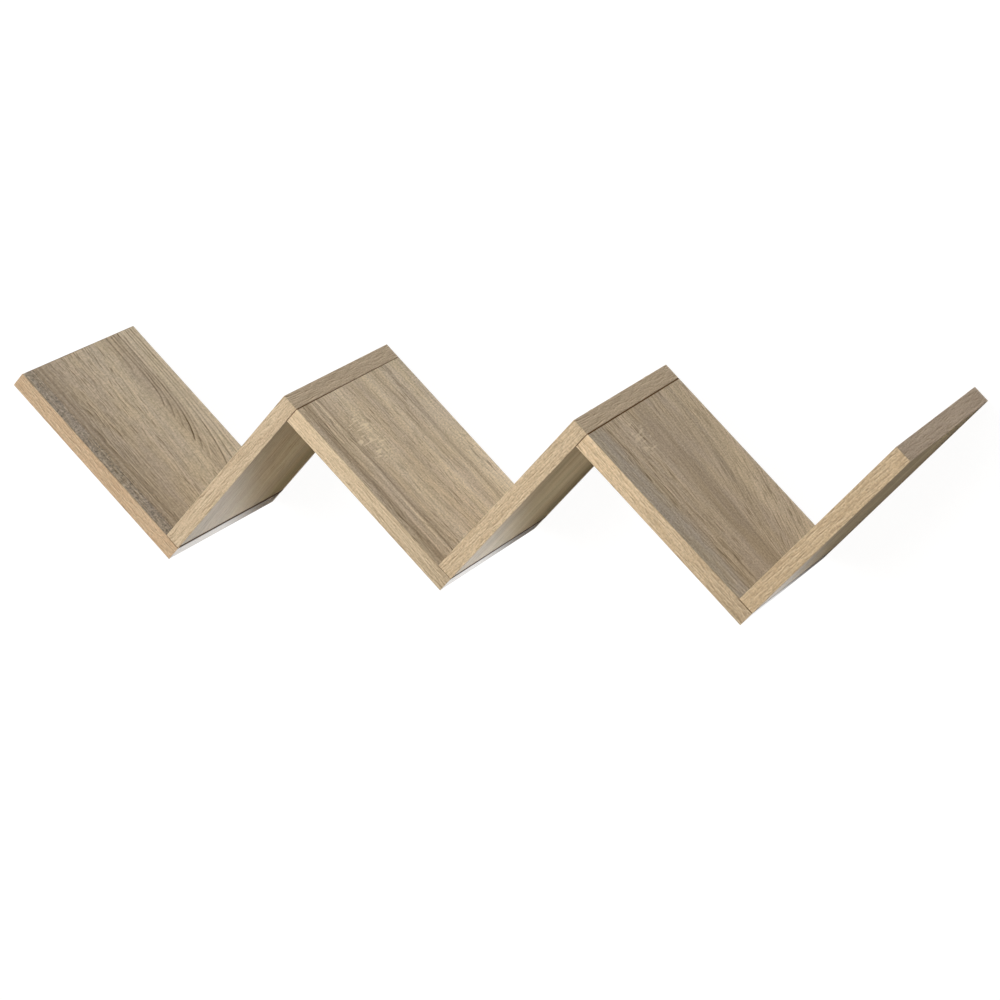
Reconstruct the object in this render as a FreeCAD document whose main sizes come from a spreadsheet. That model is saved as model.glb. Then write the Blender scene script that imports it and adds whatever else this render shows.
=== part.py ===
"""Zigzag floating wall shelf: six oak-faced boards that fold into three valleys.

The boards alternate: a falling one, then a rising one, square to each other. At every corner the
next board stands with its butt end on the show face of the board before it, held by two screws and
two dowels. The screws go in from the hidden face, under cover caps. Bands close the front edges and
the open ends. The back edges are raw, and keyhole plates let into the rising ones hang the shelf.

The origin is on the wall plane, at mid width, in the middle of the corner of the middle valley.
X runs along the wall, Y towards it and Z up. All lengths are in millimetres.

Each board has a frame of its own, which everything fixed to that board shares: x from the butt end
to the tip, y to the wall, and z square to the show face, which lies at z = 0.
"""
import FreeCAD
import Part
import Sketcher
import math
import os
from enum import IntEnum
from typing import NamedTuple

SIZES = {
    # boards
    "board_length": 200,
    "board_depth": 175,
    "board_thickness": 16,
    "tilt": 45,
    "butt_ease": 0.4,
    # edge bands
    "band_thickness": 0.8,
    "band_round": 0.5,
    # corner screws, with a countersunk head and a hexagon socket
    "screw_length": 50,
    "screw_head_diameter": 10,
    "screw_shank_diameter": 7,
    "screw_core_diameter": 5,
    "screw_point_length": 3,
    "screw_clearance": 0.1,
    "screw_spare_depth": 2,
    "screw_place_share": 0.2,
    "socket_flats": 4,
    "socket_depth": 3,
    # corner dowels
    "dowel_length": 30,
    "dowel_diameter": 8,
    "dowel_chamfer": 1,
    "dowel_clearance": 0.1,
    "dowel_spare_depth": 1,
    "dowel_floor": 4,
    "dowel_place_share": 0.38,
    # cover caps over the screw heads
    "cap_diameter": 12.5,
    "cap_rim": 0.5,
    "cap_height": 1.4,
    "cap_stem_diameter": 3.6,
    "cap_stem_length": 2.2,
    # keyhole plates
    "keyhole_place": 45,
    "keyhole_diameter": 8,
    "keyhole_slot_width": 4.2,
    "keyhole_travel": 8,
    "plate_length": 42,
    "plate_width": 12,
    "plate_thickness": 1.5,
    "plate_clearance": 0.1,
    "head_room_width": 9.4,
    "head_room_depth": 8,
    # plate screws
    "plate_screw_length": 16,
    "plate_screw_diameter": 3,
    "plate_screw_head_diameter": 5.6,
    "plate_screw_point_length": 3,
    "plate_screw_spacing": 30,
    "plate_screw_clearance": 0.1,
    "plate_screw_spare_depth": 1,
}

FULL_TURN = 360
RIGHT_ANGLE = 90
PAIR = 2
BOARD_COUNT = 6
MIDDLE_BOARD = 4

UP = FreeCAD.Vector(0, 0, 1)
CUTS = ("PartDesign::Pocket", "PartDesign::Hole")


class Mark(IntEnum):
    """The numbers of a sketch's own axes, and of the points on a curve."""

    FLAT_AXIS = -1
    UPRIGHT_AXIS = -2
    START = 1
    END = 2
    CENTRE = 3


class Board(NamedTuple):
    """A board of the zigzag: its name, its lie and where its butt end starts."""

    number: int
    label: str
    side: int
    length: str
    falling_steps: str
    rising_steps: str

    @property
    def is_first(self):
        """Tell whether this board has an open upper end instead of a butt end."""
        return self.number == 1

    @property
    def is_last(self):
        """Tell whether no further board stands on this one."""
        return self.number == BOARD_COUNT

    @property
    def rises(self):
        """Tell whether the board climbs from its butt end to its tip."""
        return self.side > 0

    @property
    def hidden_face(self):
        """Give the height of the hidden face, in the board's frame."""
        return f"{self.side} * {THICKNESS}"

    @property
    def corner(self):
        """Give the distance along the board to the middle of the board that stands on it."""
        return f"{self.length} - {THICKNESS} / 2"

    def under_hidden_face(self, depth):
        """Give the height of a point that lies a depth below the hidden face."""
        return f"{self.side} * ({THICKNESS} - ({depth}))"

    def inside(self, depth):
        """Give the height of a point that lies a depth below the show face."""
        return f"{self.side} * ({depth})"


document = FreeCAD.newDocument("zigzag_wall_shelf")
sheet = document.addObject("Spreadsheet::Sheet", "Sizes")
for row, (alias, value) in enumerate(SIZES.items(), start=1):
    sheet.set(f"A{row}", alias)
    sheet.set(f"B{row}", str(value))
    sheet.setAlias(f"B{row}", alias)
document.recompute()

LENGTH = "Sizes.board_length"
DEPTH = "Sizes.board_depth"
THICKNESS = "Sizes.board_thickness"
EASE = "Sizes.butt_ease"
BAND = "Sizes.band_thickness"
ROUND = "Sizes.band_round"
COSINE = "cos(Sizes.tilt)"
SINE = "sin(Sizes.tilt)"
CORE_DEPTH = f"{DEPTH} - {BAND}"
SCREW_PLACES = (f"Sizes.screw_place_share * {DEPTH}", f"(1 - Sizes.screw_place_share) * {DEPTH}")
DOWEL_PLACES = (f"Sizes.dowel_place_share * {DEPTH}", f"(1 - Sizes.dowel_place_share) * {DEPTH}")
DOWEL_FACE_DEPTH = f"{THICKNESS} - Sizes.dowel_floor"
MID_THICKNESS = f"{THICKNESS} / 2"
KEYHOLE = "Sizes.keyhole_place"
SLOT_END = "Sizes.keyhole_place + Sizes.keyhole_travel"
PLATE_MIDDLE = "Sizes.keyhole_place + Sizes.keyhole_travel / 2"
PLATE_SCREWS = tuple(f"{PLATE_MIDDLE} {sign} Sizes.plate_screw_spacing / 2" for sign in "-+")


def measure(expression):
    """Work out an expression of sheet values as a number."""
    result = sheet.evalExpression(expression)
    return float(getattr(result, "Value", result))


def list_boards():
    """List the boards in order, with their starts counted from the butt end of the middle one."""
    boards = []
    for number in range(1, BOARD_COUNT + 1):
        falls = number % 2 == 1
        falling_boards = number // 2 - MIDDLE_BOARD // 2
        rising_boards = (number - 1) // 2 - (MIDDLE_BOARD - 1) // 2
        is_first = number == 1
        boards.append(Board(
            number=number,
            label=f"{'falling' if falls else 'rising'}_board_{(number + 1) // 2}",
            side=-1 if falls else 1,
            length=f"({LENGTH} + {THICKNESS})" if is_first else LENGTH,
            falling_steps=f"{falling_boards} * {LENGTH} {'-' if is_first else '+'} {THICKNESS} / 2",
            rising_steps=f"{rising_boards} * {LENGTH} + {THICKNESS} / 2",
        ))
    return boards


def new_body(label, board):
    """Start a body in a board's frame."""
    body = document.addObject("PartDesign::Body", label)
    body.Label = label
    slope = f"{RIGHT_ANGLE} - Sizes.tilt" if board.rises else "Sizes.tilt"
    turn = FreeCAD.Rotation(FreeCAD.Vector(0, -board.side, 0), measure(slope))
    body.Placement = FreeCAD.Placement(FreeCAD.Vector(), turn)
    falling, rising = board.falling_steps, board.rising_steps
    body.setExpression("Placement.Base.x", f"({falling}) * {COSINE} + ({rising}) * {SINE}")
    body.setExpression("Placement.Base.z", f"({rising}) * {COSINE} - ({falling}) * {SINE}")
    body.setExpression("Placement.Rotation.Angle", slope)
    return body


def new_sketch(body, label, plane, shift=("0", "0", "0")):
    """Start a sketch on one of a body's planes, shifted along the sketch's own axes."""
    sketch = body.newObject("Sketcher::SketchObject", label)
    support = next(item for item in body.Origin.OriginFeatures if item.Role == plane)
    sketch.AttachmentSupport = [(support, "")]
    sketch.MapMode = "FlatFace"
    for axis, distance in zip("xyz", shift):
        if distance != "0":
            sketch.setExpression(f"AttachmentOffset.Base.{axis}", distance)
    return sketch


def tie(sketch, item, point, direction, distance):
    """Hold one coordinate of a sketch point at a distance from the sketch's origin."""
    if distance == "0":
        axis = Mark.UPRIGHT_AXIS if direction == "X" else Mark.FLAT_AXIS
        sketch.addConstraint(Sketcher.Constraint("PointOnObject", item, point, axis))
        return
    origin = (Mark.FLAT_AXIS, Mark.START)
    held = Sketcher.Constraint(f"Distance{direction}", *origin, item, point, measure(distance))
    index = sketch.addConstraint(held)
    sketch.setExpression(f"Constraints[{index}]", distance)


def draw_outline(sketch, corners, bends=None):
    """Draw a closed outline through corners, with outward arcs where bends names their centres."""
    bends = bends or {}
    points = [FreeCAD.Vector(measure(x), measure(y), 0) for x, y in corners]
    followers = points[1:] + points[:1]
    runs_left = sum(a.x * b.y - b.x * a.y for a, b in zip(points, followers)) > 0
    edges = []
    for index, (start, end) in enumerate(zip(points, followers)):
        if index not in bends:
            edges.append((sketch.addGeometry(Part.LineSegment(start, end)), Mark.START, Mark.END))
            continue
        centre = FreeCAD.Vector(*map(measure, bends[index]), 0)
        first, last = (start - centre, end - centre) if runs_left else (end - centre, start - centre)
        angles = [math.atan2(arm.y, arm.x) for arm in (first, last)]
        arc = Part.ArcOfCircle(Part.Circle(centre, UP, first.Length), *angles)
        ends = (Mark.START, Mark.END) if runs_left else (Mark.END, Mark.START)
        edges.append((sketch.addGeometry(arc), *ends))
    for index, (item, start, _) in enumerate(edges):
        before, _, before_end = edges[index - 1]
        sketch.addConstraint(Sketcher.Constraint("Coincident", before, before_end, item, start))
        tie(sketch, item, start, "X", corners[index][0])
        tie(sketch, item, start, "Y", corners[index][1])
    for index, (centre_x, _) in bends.items():
        tie(sketch, edges[index][0], Mark.CENTRE, "X", centre_x)


def draw_circles(sketch, centres, diameter):
    """Draw equal circles."""
    for x, y in centres:
        centre = FreeCAD.Vector(measure(x), measure(y), 0)
        item = sketch.addGeometry(Part.Circle(centre, UP, measure(diameter) / 2))
        index = sketch.addConstraint(Sketcher.Constraint("Diameter", item, measure(diameter)))
        sketch.setExpression(f"Constraints[{index}]", diameter)
        tie(sketch, item, Mark.CENTRE, "X", x)
        tie(sketch, item, Mark.CENTRE, "Y", y)


def rectangle(x_start, x_end, y_start, y_end):
    """Give the corners of a rectangle."""
    return [(x_start, y_start), (x_end, y_start), (x_end, y_end), (x_start, y_end)]


def draw_slot(sketch, start, end, middle, width):
    """Draw a slot with round ends, centred on start and end."""
    low, high = f"{middle} - ({width}) / 2", f"{middle} + ({width}) / 2"
    draw_outline(sketch, rectangle(start, end, low, high), {1: (end, middle), 3: (start, middle)})


def pad(body, sketch, length):
    """Raise a sketch into a solid."""
    feature = body.newObject("PartDesign::Pad", f"{sketch.Name}_pad")
    feature.Profile = sketch
    feature.setExpression("Length", length)
    return feature


def pocket(body, sketch, depth, forwards):
    """Cut a sketch into the body, forwards along the sketch's normal or against it."""
    feature = body.newObject("PartDesign::Pocket", f"{sketch.Name}_pocket")
    feature.Profile = sketch
    feature.Reversed = forwards
    feature.setExpression("Length", depth)
    return feature


def revolve(body, sketch):
    """Turn a profile about the sketch's upright axis."""
    feature = body.newObject("PartDesign::Revolution", f"{sketch.Name}_turned")
    feature.Profile = sketch
    feature.ReferenceAxis = (sketch, ["V_Axis"])
    feature.Angle = FULL_TURN
    return feature


def drill(body, sketch, diameter, depth, forwards, head_diameter=None):
    """Drill round holes at a sketch's circles, countersunk where a head diameter is given."""
    document.recompute()
    feature = body.newObject("PartDesign::Hole", f"{sketch.Name}_drilled")
    feature.Profile = sketch
    feature.Reversed = forwards
    feature.DrillPoint = "Flat"
    feature.setExpression("Diameter", diameter)
    feature.DepthType = "Dimension"
    feature.setExpression("Depth", depth)
    if head_diameter:
        feature.HoleCutType = "Countersink"
        feature.HoleCutCustomValues = True
        feature.HoleCutCountersinkAngle = RIGHT_ANGLE
        feature.setExpression("HoleCutDiameter", head_diameter)
    return feature


def make_pair(body, features, axis, spacing, backwards):
    """Repeat features once along an axis of the body, as separate solids."""
    document.recompute()
    body.AllowCompound = True
    pattern = body.newObject("PartDesign::LinearPattern", f"{body.Name}_pair")
    pattern.Originals = features
    direction = next(item for item in body.Origin.OriginFeatures if item.Role == axis)
    pattern.Direction = (direction, [""])
    pattern.Reversed = backwards
    pattern.setExpression("Length", spacing)
    pattern.Occurrences = PAIR
    body.Tip = pattern


def make_board(board):
    """Make a board, with eased butt corners and the drilling that its joints and hanger need."""
    body = new_body(board.label, board)
    outline = new_sketch(body, f"{board.label}_outline", "XZ_Plane")
    tip = f"{board.length} - {BAND}"
    if board.is_first:
        draw_outline(outline, rectangle(BAND, tip, "0", board.hidden_face))
    else:
        draw_outline(outline, [
            ("0", board.inside(EASE)),
            (EASE, "0"),
            (tip, "0"),
            (tip, board.hidden_face),
            (EASE, board.hidden_face),
            ("0", board.under_hidden_face(EASE)),
        ])
    pad(body, outline, CORE_DEPTH)
    if not board.is_last:
        drill_tip(body, board)
    if not board.is_first:
        drill_butt_end(body, board)
    if board.rises:
        cut_hanger_seat(body, board)
    return body


def drill_tip(body, board):
    """Drill screw holes through the board and dowel holes into its show face, near its tip."""
    screws = new_sketch(body, f"{board.label}_screws", "XY_Plane", ("0", "0", board.hidden_face))
    draw_circles(screws, [(board.corner, f"-({place})") for place in SCREW_PLACES],
                 "Sizes.screw_shank_diameter + Sizes.screw_clearance")
    drill(body, screws, "Sizes.screw_shank_diameter + Sizes.screw_clearance", THICKNESS, not board.rises,
          "Sizes.screw_head_diameter + Sizes.screw_clearance")
    dowels = new_sketch(body, f"{board.label}_dowels", "XY_Plane")
    draw_circles(dowels, [(board.corner, f"-({place})") for place in DOWEL_PLACES],
                 "Sizes.dowel_diameter + Sizes.dowel_clearance")
    drill(body, dowels, "Sizes.dowel_diameter + Sizes.dowel_clearance", DOWEL_FACE_DEPTH, board.rises)


def drill_butt_end(body, board):
    """Drill the screw and dowel holes into the butt end."""
    middle = board.inside(MID_THICKNESS)
    screws = new_sketch(body, f"{board.label}_end_screws", "YZ_Plane")
    core = "Sizes.screw_core_diameter + Sizes.screw_clearance"
    draw_circles(screws, [(f"-({place})", middle) for place in SCREW_PLACES], core)
    drill(body, screws, core, f"Sizes.screw_length - {THICKNESS} + Sizes.screw_spare_depth", True)
    dowels = new_sketch(body, f"{board.label}_end_dowels", "YZ_Plane")
    draw_circles(dowels, [(f"-({place})", middle) for place in DOWEL_PLACES],
                 "Sizes.dowel_diameter + Sizes.dowel_clearance")
    drill(body, dowels, "Sizes.dowel_diameter + Sizes.dowel_clearance",
          f"Sizes.dowel_length + 2 * Sizes.dowel_spare_depth - ({DOWEL_FACE_DEPTH})", True)


def cut_hanger_seat(body, board):
    """Cut the plate's seat, the room for the wall screw's head and the plate screws' holes."""
    middle = board.inside(MID_THICKNESS)
    seat = new_sketch(body, f"{board.label}_plate_seat", "XZ_Plane")
    draw_plate_outline(seat, middle, "2 * Sizes.plate_clearance")
    pocket(body, seat, "Sizes.plate_thickness", True)
    room = new_sketch(body, f"{board.label}_head_room", "XZ_Plane")
    draw_slot(room, KEYHOLE, SLOT_END, middle, "Sizes.head_room_width")
    pocket(body, room, "Sizes.plate_thickness + Sizes.head_room_depth", True)
    holes = new_sketch(body, f"{board.label}_plate_screws", "XZ_Plane", ("0", "0", "Sizes.plate_thickness"))
    diameter = "Sizes.plate_screw_diameter + Sizes.plate_screw_clearance"
    draw_circles(holes, [(place, middle) for place in PLATE_SCREWS], diameter)
    drill(body, holes, diameter,
          "Sizes.plate_screw_length - Sizes.plate_thickness + Sizes.plate_screw_spare_depth", True)


def draw_plate_outline(sketch, middle, growth):
    """Draw the keyhole plate's round-ended outline, wider and longer by a growth."""
    reach = "(Sizes.plate_length - Sizes.plate_width) / 2"
    draw_slot(sketch, f"{PLATE_MIDDLE} - {reach}", f"{PLATE_MIDDLE} + {reach}", middle,
              f"Sizes.plate_width + {growth}")


def draw_band_section(sketch, board, inner, outer, inwards):
    """Draw a band's section across the board's thickness, with its two outer corners rounded."""
    eased = f"{outer} {inwards} {ROUND}" if outer != "0" else ROUND
    low, high = board.inside(ROUND), board.under_hidden_face(ROUND)
    corners = [(inner, "0"), (eased, "0"), (outer, low), (outer, high), (eased, board.hidden_face),
               (inner, board.hidden_face)]
    draw_outline(sketch, corners, {1: (eased, low), 3: (eased, high)})


def make_front_band(board):
    """Make the band along a front edge, over the end bands' front ends and eased at the butt end."""
    body = new_body(f"{board.label}_front_band", board)
    section = new_sketch(body, f"{body.Name}_section", "YZ_Plane")
    draw_band_section(section, board, f"{BAND} - {DEPTH}", f"-{DEPTH}", "+")
    pad(body, section, board.length)
    if not board.is_first:
        ease = new_sketch(body, f"{body.Name}_ease", "XY_Plane")
        draw_outline(ease, [("0", f"-{DEPTH}"), (EASE, f"-{DEPTH}"), ("0", f"{EASE} - {DEPTH}")])
        pocket(body, ease, THICKNESS, board.rises)
    return body


def make_tip_band(board):
    """Make the band on a board's open tip."""
    body = new_body(f"{board.label}_tip_band", board)
    section = new_sketch(body, f"{body.Name}_section", "XZ_Plane")
    draw_band_section(section, board, f"{board.length} - {BAND}", board.length, "-")
    pad(body, section, CORE_DEPTH)
    return body


def make_upper_end_band(board):
    """Make the band on the open upper end of the first board."""
    body = new_body(f"{board.label}_upper_end_band", board)
    section = new_sketch(body, f"{body.Name}_section", "XZ_Plane")
    draw_band_section(section, board, BAND, "0", "+")
    pad(body, section, CORE_DEPTH)
    return body


def make_corner_screws(board):
    """Make the two screws that go through a board's tip into the board that stands on it."""
    body = new_body(f"corner_{board.number}_screws", board)
    radius = {part: f"Sizes.screw_{part}_diameter / 2" for part in ("head", "shank", "core")}
    profile = new_sketch(body, f"{body.Name}_profile", "XZ_Plane", (board.corner, "0", SCREW_PLACES[0]))
    draw_outline(profile, [
        ("0", board.hidden_face),
        (radius["head"], board.hidden_face),
        (radius["shank"], board.under_hidden_face(f"{radius['head']} - {radius['shank']}")),
        (radius["shank"], "0"),
        (radius["core"], "0"),
        (radius["core"], board.under_hidden_face("Sizes.screw_length - Sizes.screw_point_length")),
        ("0", board.under_hidden_face("Sizes.screw_length")),
    ])
    shaft = revolve(body, profile)
    socket = new_sketch(body, f"{body.Name}_socket", "XY_Plane",
                        (board.corner, f"-({SCREW_PLACES[0]})", board.hidden_face))
    draw_hexagon(socket, "Sizes.socket_flats")
    recess = pocket(body, socket, "Sizes.socket_depth", not board.rises)
    spacing = f"{SCREW_PLACES[1]} - {SCREW_PLACES[0]}"
    make_pair(body, [shaft, recess], "Y_Axis", spacing, True)
    return body


def draw_hexagon(sketch, flats):
    """Draw a regular hexagon about the sketch's origin, given its size across the flats."""
    corner, side = f"{flats} / sqrt(3)", f"{flats} / sqrt(3) / 2"
    flat = f"{flats} / 2"
    draw_outline(sketch, [
        (corner, "0"),
        (side, flat),
        (f"-{side}", flat),
        (f"-{corner}", "0"),
        (f"-{side}", f"-{flat}"),
        (side, f"-{flat}"),
    ])


def make_corner_dowels(board):
    """Make the two chamfered dowels that line up a board's tip with the board on it."""
    body = new_body(f"corner_{board.number}_dowels", board)
    top = f"{DOWEL_FACE_DEPTH} - Sizes.dowel_spare_depth"
    end = f"{top} - Sizes.dowel_length"
    radius, chamfer = "Sizes.dowel_diameter / 2", "Sizes.dowel_chamfer"
    profile = new_sketch(body, f"{body.Name}_profile", "XZ_Plane", (board.corner, "0", DOWEL_PLACES[0]))
    draw_outline(profile, [
        ("0", board.inside(top)),
        (f"{radius} - {chamfer}", board.inside(top)),
        (radius, board.inside(f"{top} - {chamfer}")),
        (radius, board.inside(f"{end} + {chamfer}")),
        (f"{radius} - {chamfer}", board.inside(end)),
        ("0", board.inside(end)),
    ])
    make_pair(body, [revolve(body, profile)], "Y_Axis", f"{DOWEL_PLACES[1]} - {DOWEL_PLACES[0]}", True)
    return body


def make_corner_caps(board):
    """Make the two domed caps whose stems plug into the screw heads."""
    body = new_body(f"corner_{board.number}_cover_caps", board)
    radius, stem = "Sizes.cap_diameter / 2", "Sizes.cap_stem_diameter / 2"
    rim, height = "Sizes.cap_rim", "Sizes.cap_height"
    dome_centre = f"({height}^2 - {rim}^2 - ({radius})^2) / (2 * ({height} - {rim}))"
    stem_end = board.under_hidden_face("Sizes.cap_stem_length")
    profile = new_sketch(body, f"{body.Name}_profile", "XZ_Plane", (board.corner, "0", SCREW_PLACES[0]))
    draw_outline(profile, [
        ("0", stem_end),
        (stem, stem_end),
        (stem, board.hidden_face),
        (radius, board.hidden_face),
        (radius, board.inside(f"{THICKNESS} + {rim}")),
        ("0", board.inside(f"{THICKNESS} + {height}")),
    ], {4: ("0", board.inside(f"{THICKNESS} + {dome_centre}"))})
    make_pair(body, [revolve(body, profile)], "Y_Axis", f"{SCREW_PLACES[1]} - {SCREW_PLACES[0]}", True)
    return body


def make_keyhole_plate(board):
    """Make the steel plate that a wall screw's head enters and slides along."""
    body = new_body(f"keyhole_plate_{board.number // 2}", board)
    middle = board.inside(MID_THICKNESS)
    outline = new_sketch(body, f"{body.Name}_outline", "XZ_Plane")
    draw_plate_outline(outline, middle, "0")
    entry, slot = "Sizes.keyhole_diameter / 2", "Sizes.keyhole_slot_width / 2"
    mouth = f"{KEYHOLE} + sqrt(({entry})^2 - ({slot})^2)"
    draw_outline(outline, rectangle(mouth, SLOT_END, f"{middle} - {slot}", f"{middle} + {slot}"),
                 {1: (SLOT_END, middle), 3: (KEYHOLE, middle)})
    pad(body, outline, "Sizes.plate_thickness")
    holes = new_sketch(body, f"{body.Name}_screw_holes", "XZ_Plane")
    diameter = "Sizes.plate_screw_diameter + Sizes.plate_screw_clearance"
    draw_circles(holes, [(place, middle) for place in PLATE_SCREWS], diameter)
    drill(body, holes, diameter, "Sizes.plate_thickness", True,
          "Sizes.plate_screw_head_diameter + Sizes.plate_screw_clearance")
    return body


def make_plate_screws(board):
    """Make the two countersunk screws that hold a keyhole plate."""
    body = new_body(f"keyhole_plate_{board.number // 2}_screws", board)
    head, shank = "Sizes.plate_screw_head_diameter / 2", "Sizes.plate_screw_diameter / 2"
    profile = new_sketch(body, f"{body.Name}_profile", "XY_Plane",
                         (PLATE_SCREWS[0], "0", board.inside(MID_THICKNESS)))
    draw_outline(profile, [
        ("0", "0"),
        (head, "0"),
        (shank, f"{shank} - {head}"),
        (shank, "Sizes.plate_screw_point_length - Sizes.plate_screw_length"),
        ("0", "-Sizes.plate_screw_length"),
    ])
    make_pair(body, [revolve(body, profile)], "X_Axis", "Sizes.plate_screw_spacing", False)
    return body


def make_shelf():
    """Make every piece of the shelf, board by board."""
    bodies = []
    for board in list_boards():
        bodies += [make_board(board), make_front_band(board), make_tip_band(board)]
        if board.is_first:
            bodies.append(make_upper_end_band(board))
        if not board.is_last:
            bodies += [make_corner_screws(board), make_corner_dowels(board), make_corner_caps(board)]
        if board.rises:
            bodies += [make_keyhole_plate(board), make_plate_screws(board)]
    return bodies


def check(bodies):
    """Stop if anything failed to build, came out unsound or cut nothing."""
    for item in document.Objects:
        if "Invalid" in item.State or "Error" in item.State:
            raise RuntimeError(f"{item.Name} is {item.State}")
        if item.TypeId in CUTS and not item.Shape.Volume < item.BaseFeature.Shape.Volume:
            raise RuntimeError(f"{item.Name} cuts nothing")
    for body in bodies:
        if body.Shape.isNull() or not body.Shape.isValid():
            raise RuntimeError(f"{body.Label} has no sound shape")


shelf = make_shelf()
document.recompute()
check(shelf)
os.makedirs("parts", exist_ok=True)
for piece in shelf:
    piece.Shape.exportStep(f"parts/{piece.Label}.step")
    print(piece.Label, len(piece.Shape.Solids), round(piece.Shape.Volume, 1))
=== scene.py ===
"""Looks of the zigzag wall shelf: oak-faced boards, edge bands, fittings, studio light and camera."""

import logging
import math
from dataclasses import dataclass, field, replace
from enum import Enum
from typing import Callable, Iterable, Optional, Sequence, Union

import bmesh
import bpy
from mathutils import Matrix, Vector


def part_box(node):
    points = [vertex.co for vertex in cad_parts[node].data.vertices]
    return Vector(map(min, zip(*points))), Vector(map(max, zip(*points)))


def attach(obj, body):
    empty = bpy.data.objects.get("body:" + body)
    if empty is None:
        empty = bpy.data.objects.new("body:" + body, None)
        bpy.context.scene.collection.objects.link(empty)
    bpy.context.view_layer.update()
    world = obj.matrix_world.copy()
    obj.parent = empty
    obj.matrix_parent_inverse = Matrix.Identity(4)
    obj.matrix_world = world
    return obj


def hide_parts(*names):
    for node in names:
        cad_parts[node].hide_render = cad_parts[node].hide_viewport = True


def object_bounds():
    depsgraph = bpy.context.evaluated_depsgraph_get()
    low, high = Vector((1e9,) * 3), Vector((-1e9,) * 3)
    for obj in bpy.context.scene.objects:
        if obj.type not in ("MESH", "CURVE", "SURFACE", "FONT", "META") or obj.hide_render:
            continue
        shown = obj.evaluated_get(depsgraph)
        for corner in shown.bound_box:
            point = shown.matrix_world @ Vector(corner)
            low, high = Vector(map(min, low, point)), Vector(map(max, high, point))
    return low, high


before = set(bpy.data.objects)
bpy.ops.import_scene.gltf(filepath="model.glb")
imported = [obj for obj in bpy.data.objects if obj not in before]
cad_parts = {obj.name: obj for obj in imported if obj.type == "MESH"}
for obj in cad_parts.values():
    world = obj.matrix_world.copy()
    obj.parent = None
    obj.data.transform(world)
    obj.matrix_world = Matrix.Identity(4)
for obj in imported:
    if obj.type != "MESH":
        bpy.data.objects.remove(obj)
CAD_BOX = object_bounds()

log = logging.getLogger("shelf")

MM = 0.001
BODY = "root"
BOARD_COUNT = 6
BOARD_THICKNESS = 16.0 * MM
TILT = math.radians(45.0)
FULL_TURN = math.tau
HALF_TURN = math.pi
QUARTER_TURN = 0.5 * math.pi
CENTRE = (0.0, 0.0, 0.0)
UPWARDS = (0.0, 0.0, 1.0)
SIDEWAYS = (0.0, 1.0, 0.0)
# Corners closer than the weld gap become one; heights within the level gap count as equal.
WELD_GAP = 0.002 * MM
LEVEL_GAP = 0.01 * MM
HALF = 0.5

# The display curve: its steps, its straight toe, and the shift and power of the rest.
DISPLAY_STEPS = 255.0
TOE_END, TOE_SLOPE = 0.04045, 12.92
CURVE_SHIFT, CURVE_POWER = 0.055, 2.4
# The way that a seed shifts a pattern, in patches.
SEED_WALK = (1.0, 1.7, 0.6)
# Places of the colour mixer's sockets, whose names are not unique.
MIX_SHARE, MIX_FIRST, MIX_SECOND, MIX_RESULT = 0, 6, 7, 2

Triple = tuple[float, float, float]
Colour = tuple[float, float, float, float]
Socket = bpy.types.NodeSocket
Node = bpy.types.Node
Material = bpy.types.Material
Shape = bmesh.types.BMesh
Corner = bmesh.types.BMVert
Edge = bmesh.types.BMEdge
Feed = Union[float, Sequence[float], Socket]
Stops = tuple[tuple[float, Colour], ...]


def paint(red: int, green: int, blue: int) -> Colour:
    """Turn a colour written in display steps into the shader's own scale.

    Args:
        red: red step, 0 to 255.
        green: green step, 0 to 255.
        blue: blue step, 0 to 255.

    Returns:
        The colour in linear light, with full opacity.
    """
    def linear(step: int) -> float:
        """Undo the display curve for one channel, which has a straight toe.

        Args:
            step: the channel's step.

        Returns:
            Its share of full light.
        """
        share = step / DISPLAY_STEPS
        if share <= TOE_END:
            return share / TOE_SLOPE
        return ((share + CURVE_SHIFT) / (1.0 + CURVE_SHIFT)) ** CURVE_POWER

    return linear(red), linear(green), linear(blue), 1.0


def grey(level: float) -> Colour:
    """Give a grey of one level in linear light."""
    return level, level, level, 1.0


def stretched(rates: Triple, shares: Triple) -> Triple:
    """Multiply the rates of a pattern by shares, one by one."""
    return tuple(rate * share for rate, share in zip(rates, shares))


@dataclass(frozen=True)
class Pattern:
    """An irregular pattern: patches per metre in each direction, a shift to other wood, and finer layers."""

    rates: Triple
    shift: float = 0.0
    detail: float = 2.0
    roughness: float = 0.5
    swirl: float = 0.0


@dataclass(frozen=True)
class Ramp:
    """How a number is eased: where the low level ends, where the high one begins, and both levels."""

    start: float
    end: float
    low: float = 0.0
    high: float = 1.0


STROKE_EDGE = Ramp(0.54, 0.66)


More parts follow.
